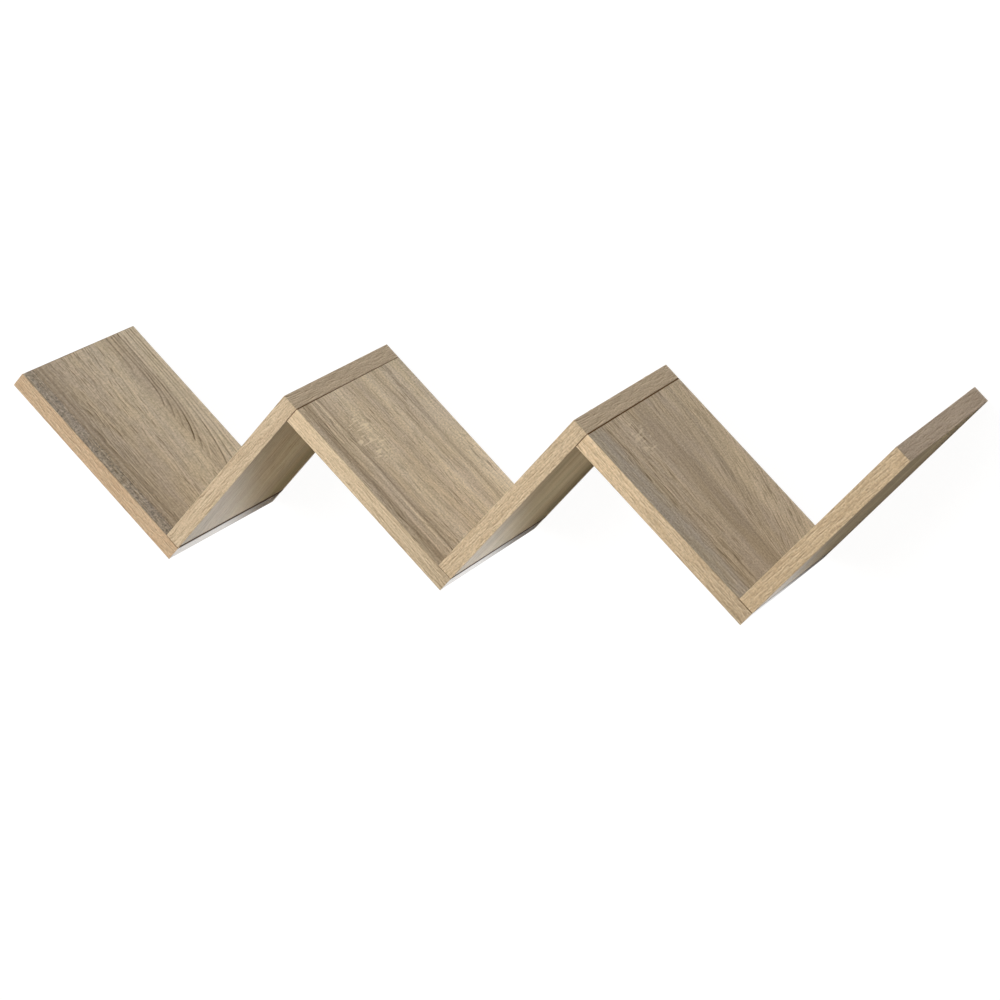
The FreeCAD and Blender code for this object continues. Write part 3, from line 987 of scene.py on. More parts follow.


# The side of the rising boards that faces down and shines. Its wide, soft seam in DEEP_SEAM at the valley
# joint is painted shadow of the gap there.
GLOSSY_SIDE = {
    "roughness": 0.26, "specular": 0.25, "pore_depth": 0.0, "waviness": 0.03 * MM, "tone": 1.08,
    "stroke_strength": 0.20, "light_strength": 0.10, "speckle_strength": 0.30, "fibre_strength": 0.32,
    "streak_strength": 0.80, "streaks": Pattern((4.0, 48.0, 30.0)), "seam_width": 2.0 * MM,
    "seam_fade": 3.8 * MM, "seam_colour": DEEP_SEAM, "blush": MOSS,
}
FIRST_FLAME = Flame(front=127.0 * MM, arches=(
    Arch(42.0 * MM, 3.0 * MM, dark=0.8, light=0.4),
    Arch(87.0 * MM, 10.5 * MM, dark=1.0, light=0.4),
    Arch(102.0 * MM, 15.0 * MM, dark=0.7, light=0.4),
    Arch(115.0 * MM, 18.0 * MM, dark=0.4, light=0.2),
    Arch(131.0 * MM, 21.0 * MM, dark=1.0, light=0.6),
    Arch(142.0 * MM, 26.0 * MM, dark=0.45, light=0.3),
    Arch(152.0 * MM, 30.5 * MM, dark=0.0, light=1.0),
    Arch(185.0 * MM, 34.0 * MM, dark=0.8, light=0.8),
    Arch(212.0 * MM, 37.5 * MM, dark=0.7, light=1.0),
    Arch(260.0 * MM, 41.5 * MM, dark=0.8, light=1.0),
))
# Zones of each board's print, from its front edge at 0 to its back edge at 1. The undersides of the rising
# boards darken in their last zones towards the wall: painted shade, where less light reaches.
UPPER_FACES = {
    2: OakFace(((0.0, TAWNY), (0.12, FAWN), (0.3, HONEY), (0.5, FAWN), (0.62, TAWNY), (0.8, HONEY),
                (1.0, FAWN)),
               seed=71.5, lean=Lean(slope=0.05, bow=0.6, start=20.0 * MM, full=110.0 * MM), tone=0.95),
    4: OakFace(((0.0, FAWN), (0.2, TAWNY), (0.45, FAWN), (0.7, HONEY), (0.86, FAWN), (1.0, HONEY)),
               seed=83.2, lean=Lean(slope=-0.03), tone=0.97, streak_strength=0.45),
    6: OakFace(((0.0, HONEY), (0.25, FAWN), (0.4, TAWNY), (0.55, FAWN), (0.8, TAWNY), (1.0, FAWN)),
               seed=95.6, lean=Lean(slope=0.06, bow=0.9, start=30.0 * MM, full=120.0 * MM), tone=0.97,
               streak_strength=0.5),
}
FACES = {
    # Boards 1, 3 and 5: their show faces run darker and greyer at the front and lighter towards the back,
    # print zones with a painted sheen in part.
    1: OakFace(((0.0, SLATE), (0.07, SLATE), (0.095, UMBER), (0.12, FAWN), (0.14, UMBER), (0.17, FAWN),
                (0.22, FAWN), (0.34, HONEY), (0.66, PALE), (0.74, HONEY), (0.80, HONEY), (0.89, BLOND)),
               seed=3.1, lean=Lean(slope=0.12, start=20.0 * MM, full=110.0 * MM), tone=0.94, curl=2.0,
               twist=0.25, flame=FIRST_FLAME),
    # Board 2: its underside darkens to OLIVE at the back, painted shade near the wall.
    2: OakFace(((0.0, FAWN), (0.2, FAWN), (0.5, HONEY), (0.7, FAWN), (0.9, OLIVE)),
               seed=14.2, upper=UPPER_FACES[2], **GLOSSY_SIDE),
    3: OakFace(((0.0, FAWN), (0.04, FAWN), (0.06, UMBER), (0.095, UMBER), (0.11, HONEY), (0.125, FAWN),
                (0.15, FAWN), (0.165, PALE), (0.178, FAWN), (0.187, UMBER), (0.20, FAWN), (0.26, HONEY),
                (0.34, PALE), (0.45, HONEY), (0.55, HONEY), (0.66, PALE), (0.73, HONEY), (0.80, PALE),
                (0.825, FAWN), (0.85, PALE), (0.93, BLOND)),
               seed=25.7, lean=Lean(slope=-0.03), tone=1.06, curl=0.4, twist=0.5, tip_gain=0.02,
               streak_strength=0.38, speckle_strength=0.65, seam_closing=0.004,
               flecks=Flecks(along=52.0 * MM, across=54.0 * MM, reach=34.0 * MM, strength=0.75)),
    # Board 4: its underside darkens to OLIVE at the back, painted shade near the wall.
    4: OakFace(((0.0, HONEY), (0.3, PALE), (0.55, BLOND), (0.7, HONEY), (0.94, OLIVE)),
               seed=37.4, lean=Lean(slope=-0.02), upper=UPPER_FACES[4], **GLOSSY_SIDE),
    5: OakFace(((0.0, ASH), (0.09, ASH), (0.185, TAWNY), (0.21, FAWN), (0.235, TAWNY), (0.27, FAWN),
                (0.38, FAWN), (0.43, TAWNY), (0.53, TAWNY), (0.58, FAWN), (0.74, FAWN), (0.80, HONEY),
                (1.0, HONEY)),
               seed=48.9, lean=Lean(slope=0.05, bow=1.6, start=60.0 * MM, full=120.0 * MM), tone=0.98,
               curl=0.3, twist=0.25, tip_gain=-0.06, streak_strength=0.60, speckle_strength=0.65,
               seam_width=0.9 * MM,
               flecks=Flecks(along=26.0 * MM, across=62.0 * MM, reach=24.0 * MM, strength=0.35)),
    # Board 6: its underside darkens to UMBER at the back, painted shade near the wall.
    6: OakFace(((0.0, FAWN), (0.3, FAWN), (0.6, HONEY), (0.75, FAWN), (0.95, UMBER)),
               seed=61.3, upper=UPPER_FACES[6], **GLOSSY_SIDE),
}

# Lines per metre along the board, across it and through its thickness.
ALONG_BAND = (58.0, 250.0, 900.0)
ALONG_END = (250.0, 42.0, 800.0)
FRONT_BANDS = {
    1: BandFinish(paint(198, 172, 141), paint(177, 149, 118), 2.4, ALONG_BAND, far_gain=0.03),
    2: BandFinish(paint(205, 185, 156), paint(184, 162, 133), 9.1, ALONG_BAND),
    3: BandFinish(paint(208, 188, 158), paint(186, 165, 135), 17.8, ALONG_BAND, far_gain=-0.40),
    4: BandFinish(paint(203, 182, 152), paint(182, 160, 129), 23.5, ALONG_BAND),
    5: BandFinish(paint(202, 180, 149), paint(180, 157, 125), 31.2, ALONG_BAND, far_gain=-0.50),
    6: BandFinish(paint(193, 171, 139), paint(171, 148, 117), 44.6, ALONG_BAND),
}
PEAK_BAND = BandFinish(paint(191, 171, 144), paint(168, 149, 124), 6.0, ALONG_END)
UPPER_END_BAND = replace(PEAK_BAND, light=paint(160, 145, 125), dark=paint(138, 124, 106), roughness=0.9)
LAST_PEAK_BAND = BandFinish(paint(180, 162, 142), paint(159, 141, 122), 15.0, ALONG_END, stroke_strength=0.22,
                            light_strength=0.16)
# The valley strips carry a painted shadow line where the rising board's underside meets them.
VALLEY_BAND = BandFinish(paint(190, 172, 147), paint(168, 150, 126), 27.0, ALONG_END, roughness=0.18,
                         specular=0.8, lacquer=1.0, seam_level=-1.6 * MM)

PLATE_STEEL = FittingFinish(
    "bright_zinc", paint(206, 208, 210), paint(168, 171, 175), metallic=1.0, roughness=0.20,
    broad=Pattern((260.0, 260.0, 260.0), 2.0, 3.0, 0.6), fine=Pattern((240.0, 2600.0, 4200.0), 5.0),
    rough_shares=(0.16, 0.10), fine_depth=0.01 * MM)
CORNER_STEEL = replace(PLATE_STEEL, name="screw_zinc", light=paint(204, 203, 198), dark=paint(168, 167, 161),
                       roughness=0.24)
DOWEL_BEECH = FittingFinish(
    "beech_pin", paint(222, 186, 142), paint(178, 134, 92), roughness=0.55, turned=TILT,
    broad=Pattern((300.0, 1800.0, 300.0), 8.0, 1.0), fine=Pattern((900.0, 900.0, 900.0), 3.0, 3.0, 0.6),
    tint_shares=(0.4, 0.6), rough_shares=(0.0, 0.3), fine_depth=0.04 * MM)
CAP_PLASTIC = FittingFinish(
    "moulded_cap", paint(172, 153, 124), paint(158, 139, 111), roughness=0.60,
    broad=Pattern((180.0, 180.0, 180.0), 4.0), fine=Pattern((2600.0, 2600.0, 2600.0), 1.0),
    rough_shares=(0.0, 0.2), fine_depth=0.03 * MM)


@dataclass
class Piece:
    """A new mesh piece that stands for one CAD node."""

    name: str
    node: str
    slot: str
    material: Material
    smooth_angle: float = math.radians(32.0)

    def settle(self, shape: Shape) -> None:
        """Turn a finished bmesh into an object that rides on the shelf.

        Args:
            shape: the bmesh, with its place in its vertices; it is freed.
        """
        for face in shape.faces:
            face.smooth = True
        mesh = bpy.data.meshes.new(self.name)
        shape.to_mesh(mesh)
        shape.free()
        mesh.set_sharp_from_angle(angle=self.smooth_angle)
        mesh.materials.append(self.material)
        piece = bpy.data.objects.new(self.name, mesh)
        bpy.context.scene.collection.objects.link(piece)
        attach(piece, BODY)
        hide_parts(self.node)
        log.info("piece %s: %d faces", self.name, len(mesh.polygons))


def corners_of(items: Iterable[object]) -> list[Corner]:
    """Pick the corners out of what an operator made."""
    return [item for item in items if isinstance(item, Corner)]


def sweep(shape: Shape, corner: Corner, centre: Sequence[float], angle: float, steps: int,
          axis: Sequence[float] = UPWARDS) -> Corner:
    """Draw an arc from a corner.

    Args:
        shape: the bmesh to add to.
        corner: where the arc starts.
        centre: the point that it goes round.
        angle: how far it goes.
        steps: its number of edges.
        axis: the direction that it goes round.

    Returns:
        The corner where the arc ends.
    """
    arc = bmesh.ops.spin(shape, geom=[corner], cent=centre, axis=axis, angle=angle, steps=steps,
                         use_merge=False)
    return corners_of(arc["geom_last"])[0]


def turn_round(shape: Shape, steps: int) -> None:
    """Turn an outline about the third axis, as on a lathe.

    Args:
        shape: the bmesh, which holds nothing but the outline.
        steps: sides of the full turn.
    """
    bmesh.ops.spin(shape, geom=shape.verts[:] + shape.edges[:], cent=CENTRE, axis=UPWARDS, angle=FULL_TURN,
                   steps=steps, use_merge=True)
    bmesh.ops.remove_doubles(shape, verts=shape.verts, dist=WELD_GAP)


def draw_outline(shape: Shape, outline: Iterable[tuple[float, float]],
                 last: Optional[Corner] = None) -> None:
    """Draw straight edges from corner to corner.

    Args:
        shape: the bmesh to add to.
        outline: radius and height of each corner.
        last: a corner to go on from.
    """
    for radius, height in outline:
        corner = shape.verts.new((radius, 0.0, height))
        if last is not None:
            shape.edges.new((last, corner))
        last = corner


def place_part(part: Shape, seat: Matrix, whole: Shape) -> None:
    """Close a part, turn its faces outwards, move it into place and add it to a whole.

    Args:
        part: the bmesh of the part, one shell; it is freed.
        seat: the change from the part's axes to the shared frame.
        whole: the bmesh that takes it.
    """
    bmesh.ops.remove_doubles(part, verts=part.verts, dist=WELD_GAP)
    bmesh.ops.recalc_face_normals(part, faces=part.faces)
    if part.calc_volume(signed=True) < 0.0:
        bmesh.ops.reverse_faces(part, faces=part.faces)
    part.transform(seat)
    carrier = bpy.data.meshes.new("carrier")
    part.to_mesh(carrier)
    part.free()
    whole.from_mesh(carrier)
    bpy.data.meshes.remove(carrier)


class Drive(Enum):
    """The recess in a screw's head: how many arms or corners it has, and how far it narrows to its floor."""

    HEXAGON = (6, 0.9)
    CROSS = (4, 0.55)

    @property
    def sector(self) -> float:
        """The angle between two arms or sides."""
        return FULL_TURN / self.value[0]

    @property
    def taper(self) -> float:
        """The size of the floor as a share of the mouth."""
        return self.value[1]


@dataclass
class CountersunkScrew:
    """A countersunk wood screw along the third axis: its head's face lies at zero and its point below."""

    head_radius: float
    shank_radius: float
    core_radius: float
    plain_length: float
    length: float
    pitch: float
    drive: Drive
    drive_size: float
    drive_depth: float
    point_length: float = 3.0 * MM
    sides: int = 36
    rim: float = 0.25 * MM
    mouth_share: float = 0.62
    arm_share: float = 0.16
    arm_limit: float = 1e-6
    shoulder: float = 0.3 * MM
    tip_share: float = 0.12
    thread_gap: float = 0.8 * MM
    thread_sides: int = 20
    thread_root: float = 0.94
    thread_flank: float = 0.30

    def drive_radius(self, angle: float) -> float:
        """Give how far the recess reaches from the middle.

        Args:
            angle: the direction, round the head.

        Returns:
            The distance from the middle to the recess's wall.
        """
        half_sector = HALF * self.drive.sector
        from_arm = (angle + half_sector) % self.drive.sector - half_sector
        if self.drive is Drive.HEXAGON:
            return HALF * self.drive_size / math.cos(from_arm)
        arm = self.arm_share * self.drive_size
        return min(HALF * self.drive_size, arm / max(math.sin(abs(from_arm)), self.arm_limit))

    def add_body(self, shape: Shape) -> None:
        """Turn the head, shank, core and point.

        Args:
            shape: an empty bmesh.
        """
        neck = self.head_radius - self.shank_radius
        draw_outline(shape, (
            (HALF * (self.head_radius + self.mouth_share * self.drive_size), 0.0),
            (self.head_radius - self.rim, 0.0),
            (self.head_radius, -self.rim),
            (self.shank_radius, -neck - self.rim),
            (self.shank_radius, -self.plain_length),
            (self.core_radius, -self.plain_length - self.shoulder),
            (self.core_radius, self.point_length - self.length),
            (self.tip_share * self.core_radius, -self.length),
            (0.0, -self.length),
        ))
        turn_round(shape, self.sides)
        self.sink_drive(shape, [edge for edge in shape.edges if edge.is_boundary])

    def sink_drive(self, shape: Shape, mouth: list[Edge]) -> None:
        """Sink the recess into the head's face.

        Args:
            shape: the bmesh of the body.
            mouth: the edges round the opening that the turned head leaves.
        """
        ring = bmesh.ops.create_circle(shape, segments=self.sides, radius=1.0)["verts"]
        for corner in ring:
            corner.co = corner.co.normalized() * self.drive_radius(math.atan2(corner.co.y, corner.co.x))
        hole = [edge for edge in shape.edges if edge.verts[0] in ring]
        bmesh.ops.bridge_loops(shape, edges=mouth + hole)
        sunk = bmesh.ops.extrude_edge_only(shape, edges=hole)["geom"]
        floor = corners_of(sunk)
        taper = self.drive.taper
        for corner in floor:
            corner.co = Vector((corner.co.x * taper, corner.co.y * taper, -self.drive_depth))
        bmesh.ops.contextual_create(shape, geom=[item for item in sunk if isinstance(item, Edge)
                                                 and item.verts[0] in floor and item.verts[1] in floor])

    def add_thread(self, shape: Shape) -> None:
        """Wind the thread as a closed ridge round the core, which thins out at both ends.

        Args:
            shape: an empty bmesh.
        """
        start = self.plain_length + self.thread_gap
        turns = int((self.length - self.point_length - start) / self.pitch)
        steps = self.thread_sides * turns
        root, flank = self.thread_root * self.core_radius, self.thread_flank * self.pitch
        ridge = [shape.verts.new(place) for place in (
            (root, 0.0, -start + flank), (self.shank_radius, 0.0, -start), (root, 0.0, -start - flank))]
        lines = [shape.edges.new(pair) for pair in zip(ridge, ridge[1:] + ridge[:1])]
        cap = shape.faces.new(ridge)
        spun = bmesh.ops.spin(shape, geom=ridge + lines, cent=CENTRE, axis=UPWARDS, angle=FULL_TURN * turns,
                              steps=steps, dvec=(0.0, 0.0, -self.pitch * turns / steps), use_merge=False)
        last = corners_of(spun["geom_last"])
        shape.faces.new(last)
        for end in (cap.verts, last):
            crest = max(end, key=lambda corner: corner.co.xy.length)
            crest.co.xy *= root / crest.co.xy.length

    def add(self, shape: Shape, seat: Matrix) -> None:
        """Add one screw at a place.

        Args:
            shape: the bmesh that takes it.
            seat: the change from the screw's axes to the shared frame.
        """
        for make in (self.add_body, self.add_thread):
            shell = bmesh.new()
            make(shell)
            place_part(shell, seat, shape)


@dataclass
class CornerFittings:
    """Screws, dowels and cover caps of the five corners."""

    screw: CountersunkScrew = field(default_factory=lambda: CountersunkScrew(
        head_radius=5.0 * MM, shank_radius=3.5 * MM, core_radius=2.5 * MM, plain_length=16.0 * MM,
        length=50.0 * MM, pitch=3.0 * MM, drive=Drive.HEXAGON, drive_size=4.0 * MM, drive_depth=3.0 * MM))
    screw_share: float = 0.2
    dowel_share: float = 0.38
    dowel_radius: float = 4.0 * MM
    dowel_length: float = 30.0 * MM
    dowel_depth: float = 11.0 * MM
    dowel_chamfer: float = 1.0 * MM
    flutes: int = 20
    flute_share: float = 0.94
    end_slack: float = 0.1
    cap_radius: float = 6.25 * MM
    cap_rim: float = 0.5 * MM
    cap_height: float = 1.4 * MM
    cap_round: float = 0.2 * MM
    cap_stem_radius: float = 1.8 * MM
    cap_stem_length: float = 2.2 * MM
    cap_stem_taper: float = 0.9
    cap_steps: int = 8
    cap_sides: int = 48

    def seats(self, board: BoardSeat, share: float, level: float) -> list[Matrix]:
        """Give the two places of a fitting on a board, with its third axis out of the hidden face.

        Args:
            board: the board that carries it.
            share: the distance from the board's edges as a share of its depth.
            level: the height of the fitting's zero as a share of the board's thickness.

        Returns:
            The changes from the fitting's axes to the shared frame.
        """
        middle = board.length - HALF * BOARD_THICKNESS
        flip = Matrix.Identity(4) if board.slope is Slope.RISING else Matrix.Rotation(HALF_TURN, 4, "X")
        places = [(middle, -board.depth * part, level * board.hidden_side) for part in (share, 1.0 - share)]
        return [board.matrix @ Matrix.Translation(place) @ flip for place in places]

    def add_dowel(self, shape: Shape, seat: Matrix) -> None:
        """Add one fluted dowel, whose top end lies at zero.

        Args:
            shape: the bmesh that takes it.
            seat: the change from the dowel's axes to the shared frame.
        """
        pin = bmesh.new()
        ring = bmesh.ops.create_circle(pin, cap_ends=True, segments=2 * self.flutes,
                                       radius=self.dowel_radius)["verts"]
        for groove in ring[::2]:
            groove.co *= self.flute_share
        top = bmesh.ops.extrude_face_region(pin, geom=pin.faces[:])["geom"]
        bmesh.ops.translate(pin, verts=corners_of(top), vec=(0.0, 0.0, -self.dowel_length))
        slack = self.end_slack * self.dowel_length
        ends = [edge for edge in pin.edges if abs(edge.verts[0].co.z - edge.verts[1].co.z) < slack]
        bmesh.ops.bevel(pin, geom=ends, offset=self.dowel_chamfer, affect="EDGES", segments=2, profile=0.5,
                        material=-1, clamp_overlap=True)
        place_part(pin, seat, shape)

    def add_cap(self, shape: Shape, seat: Matrix) -> None:
        """Add one domed cap, whose rim stands on zero and whose stem goes below.

        Args:
            shape: the bmesh that takes it.
            seat: the change from the cap's axes to the shared frame.
        """
        cap = bmesh.new()
        rise = self.cap_height - self.cap_rim
        dome_radius = (self.cap_radius ** 2 + rise ** 2) / (2.0 * rise)
        pole = cap.verts.new((0.0, 0.0, self.cap_height))
        dome_centre = (0.0, 0.0, self.cap_height - dome_radius)
        dome_angle = math.asin(self.cap_radius / dome_radius)
        rim = sweep(cap, pole, dome_centre, dome_angle, self.cap_steps, SIDEWAYS)
        draw_outline(cap, (
            (self.cap_radius, 0.0),
            (self.cap_stem_radius, 0.0),
            (self.cap_stem_taper * self.cap_stem_radius, -self.cap_stem_length),
            (0.0, -self.cap_stem_length),
        ), rim)
        turn_round(cap, self.cap_sides)
        brim = [edge for edge in cap.edges if all(abs(corner.co.xy.length - self.cap_radius) < LEVEL_GAP
                                                  and corner.co.z > LEVEL_GAP for corner in edge.verts)]
        bmesh.ops.bevel(cap, geom=brim, offset=self.cap_round, affect="EDGES", segments=3, profile=0.5,
                        material=-1)
        place_part(cap, seat, shape)

    def build_pair(self, add: Callable[[Shape, Matrix], None], seats: Sequence[Matrix],
                   piece: Piece) -> None:
        """Make the two equal fittings of a corner as one piece.

        Args:
            add: what adds one of them.
            seats: their places.
            piece: the piece that they become.
        """
        shape = bmesh.new()
        for seat in seats:
            add(shape, seat)
        piece.settle(shape)

    def build(self, boards: Sequence[BoardSeat]) -> None:
        """Make the fittings of every corner.

        Args:
            boards: the boards that carry the screw heads, one for each corner.
        """
        steel, beech, plastic = CORNER_STEEL.finish(), DOWEL_BEECH.finish(), CAP_PLASTIC.finish()
        for board in boards:
            corner = f"corner_{board.number}"
            heads = self.seats(board, self.screw_share, 1.0)
            pins = self.seats(board, self.dowel_share, self.dowel_depth / BOARD_THICKNESS)
            self.build_pair(self.screw.add, heads, Piece(
                f"{corner}_threaded_screws", f"{corner}_screws", "zinc_screw", steel))
            self.build_pair(self.add_dowel, pins, Piece(
                f"{corner}_fluted_dowels", f"{corner}_dowels", "beech_dowel", beech))
            self.build_pair(self.add_cap, heads, Piece(
                f"{corner}_moulded_caps", f"{corner}_cover_caps", "cap_plastic", plastic))


@dataclass
class KeyholeHangers:
    """Steel keyhole plates let into the back edges of the rising boards, with their small screws."""

    screw: CountersunkScrew = field(default_factory=lambda: CountersunkScrew(
        head_radius=2.8 * MM, shank_radius=1.5 * MM, core_radius=1.1 * MM, plain_length=4.0 * MM,
        length=16.0 * MM, pitch=1.35 * MM, drive=Drive.CROSS, drive_size=3.0 * MM, drive_depth=1.4 * MM,
        sides=40, rim=0.1 * MM))
    screw_places: tuple[float, float] = (34.0 * MM, 64.0 * MM)
    screw_turns: tuple[float, float] = (0.3, 1.1)
    plate_width: float = 12.0 * MM
    plate_length: float = 42.0 * MM
    plate_thickness: float = 1.5 * MM
    end_steps: int = 16
    entry_place: float = 45.0 * MM
    entry_radius: float = 4.0 * MM
    entry_steps: int = 28
    slot_end: float = 53.0 * MM
    slot_radius: float = 2.1 * MM
    slot_steps: int = 14
    hole_radius: float = 1.55 * MM
    sink_radius: float = 2.85 * MM
    sink_slack: float = 0.05 * MM
    sink_sides: int = 28
    edge_round: float = 0.25 * MM
    edge_angle: float = 0.5

    def draw_rim(self, plate: Shape) -> None:
        """Draw the plate's outline with its round ends, flat in the first two axes.

        Args:
            plate: the bmesh to add to.
        """
        middle = HALF * sum(self.screw_places)
        radius = HALF * self.plate_width
        reach = HALF * self.plate_length - radius
        corners: list[Corner] = []
        for end, angle in ((middle + reach, -QUARTER_TURN), (middle - reach, QUARTER_TURN)):
            corner = plate.verts.new((end + radius * math.cos(angle), radius * math.sin(angle), 0.0))
            if corners:
                plate.edges.new((corners[-1], corner))
            corners += [corner, sweep(plate, corner, (end, 0.0, 0.0), HALF_TURN, self.end_steps)]
        plate.edges.new((corners[-1], corners[0]))

    def draw_keyhole(self, plate: Shape) -> None:
        """Draw the round entry with the narrow slot that leads out of it.

        Args:
            plate: the bmesh to add to.
        """
        opening = math.asin(self.slot_radius / self.entry_radius)
        throat = self.entry_place + self.entry_radius * math.cos(opening)
        entry = plate.verts.new((throat, self.slot_radius, 0.0))
        entry_end = sweep(plate, entry, (self.entry_place, 0.0, 0.0), FULL_TURN - 2.0 * opening,
                          self.entry_steps)
        neck = plate.verts.new((self.slot_end, -self.slot_radius, 0.0))
        neck_end = sweep(plate, neck, (self.slot_end, 0.0, 0.0), HALF_TURN, self.slot_steps)
        plate.edges.new((entry_end, neck))
        plate.edges.new((neck_end, entry))

    def open_at(self, place: Vector) -> bool:
        """Tell whether a place on the plate lies in an opening.

        Args:
            place: the place, in the plate's axes.

        Returns:
            Whether it does.
        """
        rounds = [(self.entry_place, self.entry_radius), (self.slot_end, self.slot_radius)]
        rounds += [(screw, self.sink_radius) for screw in self.screw_places]
        in_slot = self.entry_place < place.x < self.slot_end and abs(place.y) < self.slot_radius
        return in_slot or any((place - Vector((x, 0.0, 0.0))).length < radius for x, radius in rounds)

    def narrow_sink(self, corner: Corner) -> None:
        """Draw a lower corner of a screw hole in to the hole's own size.

        Args:
            corner: a corner of the plate's lower side; it stays if it is at no screw hole.
        """
        for place in self.screw_places:
            offset = Vector((corner.co.x - place, corner.co.y, 0.0))
            if offset.length < self.sink_radius + self.sink_slack:
                narrow = offset.normalized() * self.hole_radius
                corner.co.x, corner.co.y = place + narrow.x, narrow.y

    def build_plate(self, seat: Matrix, piece: Piece) -> None:
        """Make one keyhole plate.

        Args:
            seat: the change from the plate's axes to the shared frame.
            piece: the piece that it becomes.
        """
        plate = bmesh.new()
        self.draw_rim(plate)
        self.draw_keyhole(plate)
        for place in self.screw_places:
            bmesh.ops.create_circle(plate, segments=self.sink_sides, radius=self.sink_radius,
                                    matrix=Matrix.Translation((place, 0.0, 0.0)))
        bmesh.ops.triangle_fill(plate, edges=plate.edges[:], use_beauty=True)
        covered = [face for face in plate.faces if self.open_at(face.calc_center_median())]
        bmesh.ops.delete(plate, geom=covered, context="FACES_ONLY")
        bottom = corners_of(bmesh.ops.extrude_face_region(plate, geom=plate.faces[:])["geom"])
        bmesh.ops.translate(plate, verts=bottom, vec=(0.0, 0.0, -self.plate_thickness))
        for corner in bottom:
            self.narrow_sink(corner)
        rims = [edge for edge in plate.edges if all(abs(corner.co.z) < LEVEL_GAP for corner in edge.verts)
                and abs(edge.calc_face_angle(0.0)) > self.edge_angle]
        bmesh.ops.bevel(plate, geom=rims, offset=self.edge_round, affect="EDGES", segments=2, profile=0.5,
                        material=-1)
        shape = bmesh.new()
        place_part(plate, seat, shape)
        piece.settle(shape)

    def build_screws(self, seat: Matrix, piece: Piece) -> None:
        """Make the two screws of a plate.

        Args:
            seat: the change from the plate's axes to the shared frame.
            piece: the piece that they become.
        """
        shape = bmesh.new()
        for turned, place in zip(self.screw_turns, self.screw_places):
            spot = Matrix.Translation((place, 0.0, 0.0)) @ Matrix.Rotation(turned, 4, "Z")
            self.screw.add(shape, seat @ spot)
        piece.settle(shape)

    def back_edge(self, board: BoardSeat) -> Matrix:
        """Give the change from a plate's axes, with the third out of the back edge, to the shared frame."""
        lie = Matrix.Rotation(-QUARTER_TURN, 4, "X")
        return board.matrix @ Matrix.Translation((0.0, 0.0, HALF * board.hidden_side)) @ lie

    def build(self, boards: Sequence[BoardSeat]) -> None:
        """Make the hangers of the rising boards.

        Args:
            boards: the rising boards.
        """
        steel = PLATE_STEEL.finish()
        for number, board in enumerate(boards, start=1):
            plate = f"keyhole_plate_{number}"
            seat = self.back_edge(board)
            self.build_plate(seat, Piece(f"{plate}_pressed", plate, "hanger_steel", steel))
            self.build_screws(seat, Piece(f"{plate}_cross_screws", f"{plate}_screws", "zinc_screw", steel))


@dataclass
class BoardRun:
    """The six boards with their edge bands, which keep their CAD shapes."""

    seats: list[BoardSeat] = field(
        default_factory=lambda: [BoardSeat.find(number) for number in range(1, BOARD_COUNT + 1)])

    def dress_node(self, node: str, material: Material) -> None:
        """Give a CAD node its finish.

        Args:
            node: the node's name.
            material: the finish.
        """
        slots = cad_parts[node].data.materials
        slots.clear()
        slots.append(material)
        log.info("node %s: %s", node, material.name)

    def dress_band(self, finish: BandFinish, seat: BoardSeat, place: str,
                   seam_at_start: bool = False) -> None:
        """Give one edge band of a board its finish.

        Args:
            finish: the finish.
            seat: the board that the band is glued to.
            place: the band's place on the board, as its node's name says it.
            seam_at_start: whether another band meets it at its start.
        """
        node = f"{seat.name}_{place}_band"
        self.dress_node(node, finish.finish(node, seat, seam_at_start))

    def dress(self) -> None:
        """Give every board and band its finish."""
        for seat in self.seats:
            self.dress_node(seat.name, FACES[seat.number].finish(seat))
            self.dress_band(FRONT_BANDS[seat.number], seat, "front", seat.joined)
            self.dress_band(self.tip_finish(seat), seat, "tip")
        self.dress_band(UPPER_END_BAND, self.seats[0], "upper_end")

    def tip_finish(self, seat: BoardSeat) -> BandFinish:
        """Choose the finish of a board's tip: valleys face down, and the last peak is the darkest.

        Args:
            seat: the board.

        Returns:
            The finish.
        """
        if seat.slope is Slope.FALLING:
            return VALLEY_BAND
        return LAST_PEAK_BAND if seat.number == BOARD_COUNT else PEAK_BAND

    @property
    def rising(self) -> list[BoardSeat]:
        """The boards that rise from left to right."""
        return [seat for seat in self.seats if seat.slope is Slope.RISING]


@dataclass(frozen=True)
class Lamp:
    """A wide soft light far away: how bright it makes white paper, where it is, and its angle in the sky."""

    name: str
    level: float
    origin: Triple
    softness: float

    def hang(self) -> None:
        """Put the light into the scene."""
        lamp = bpy.data.lights.new(self.name, "SUN")
        lamp.energy = math.pi * self.level
        lamp.angle = self.softness
        holder = bpy.data.objects.new(self.name, lamp)
        holder.rotation_euler = (-Vector(self.origin)).to_track_quat("-Z", "Y").to_euler()
        bpy.context.scene.collection.objects.link(holder)


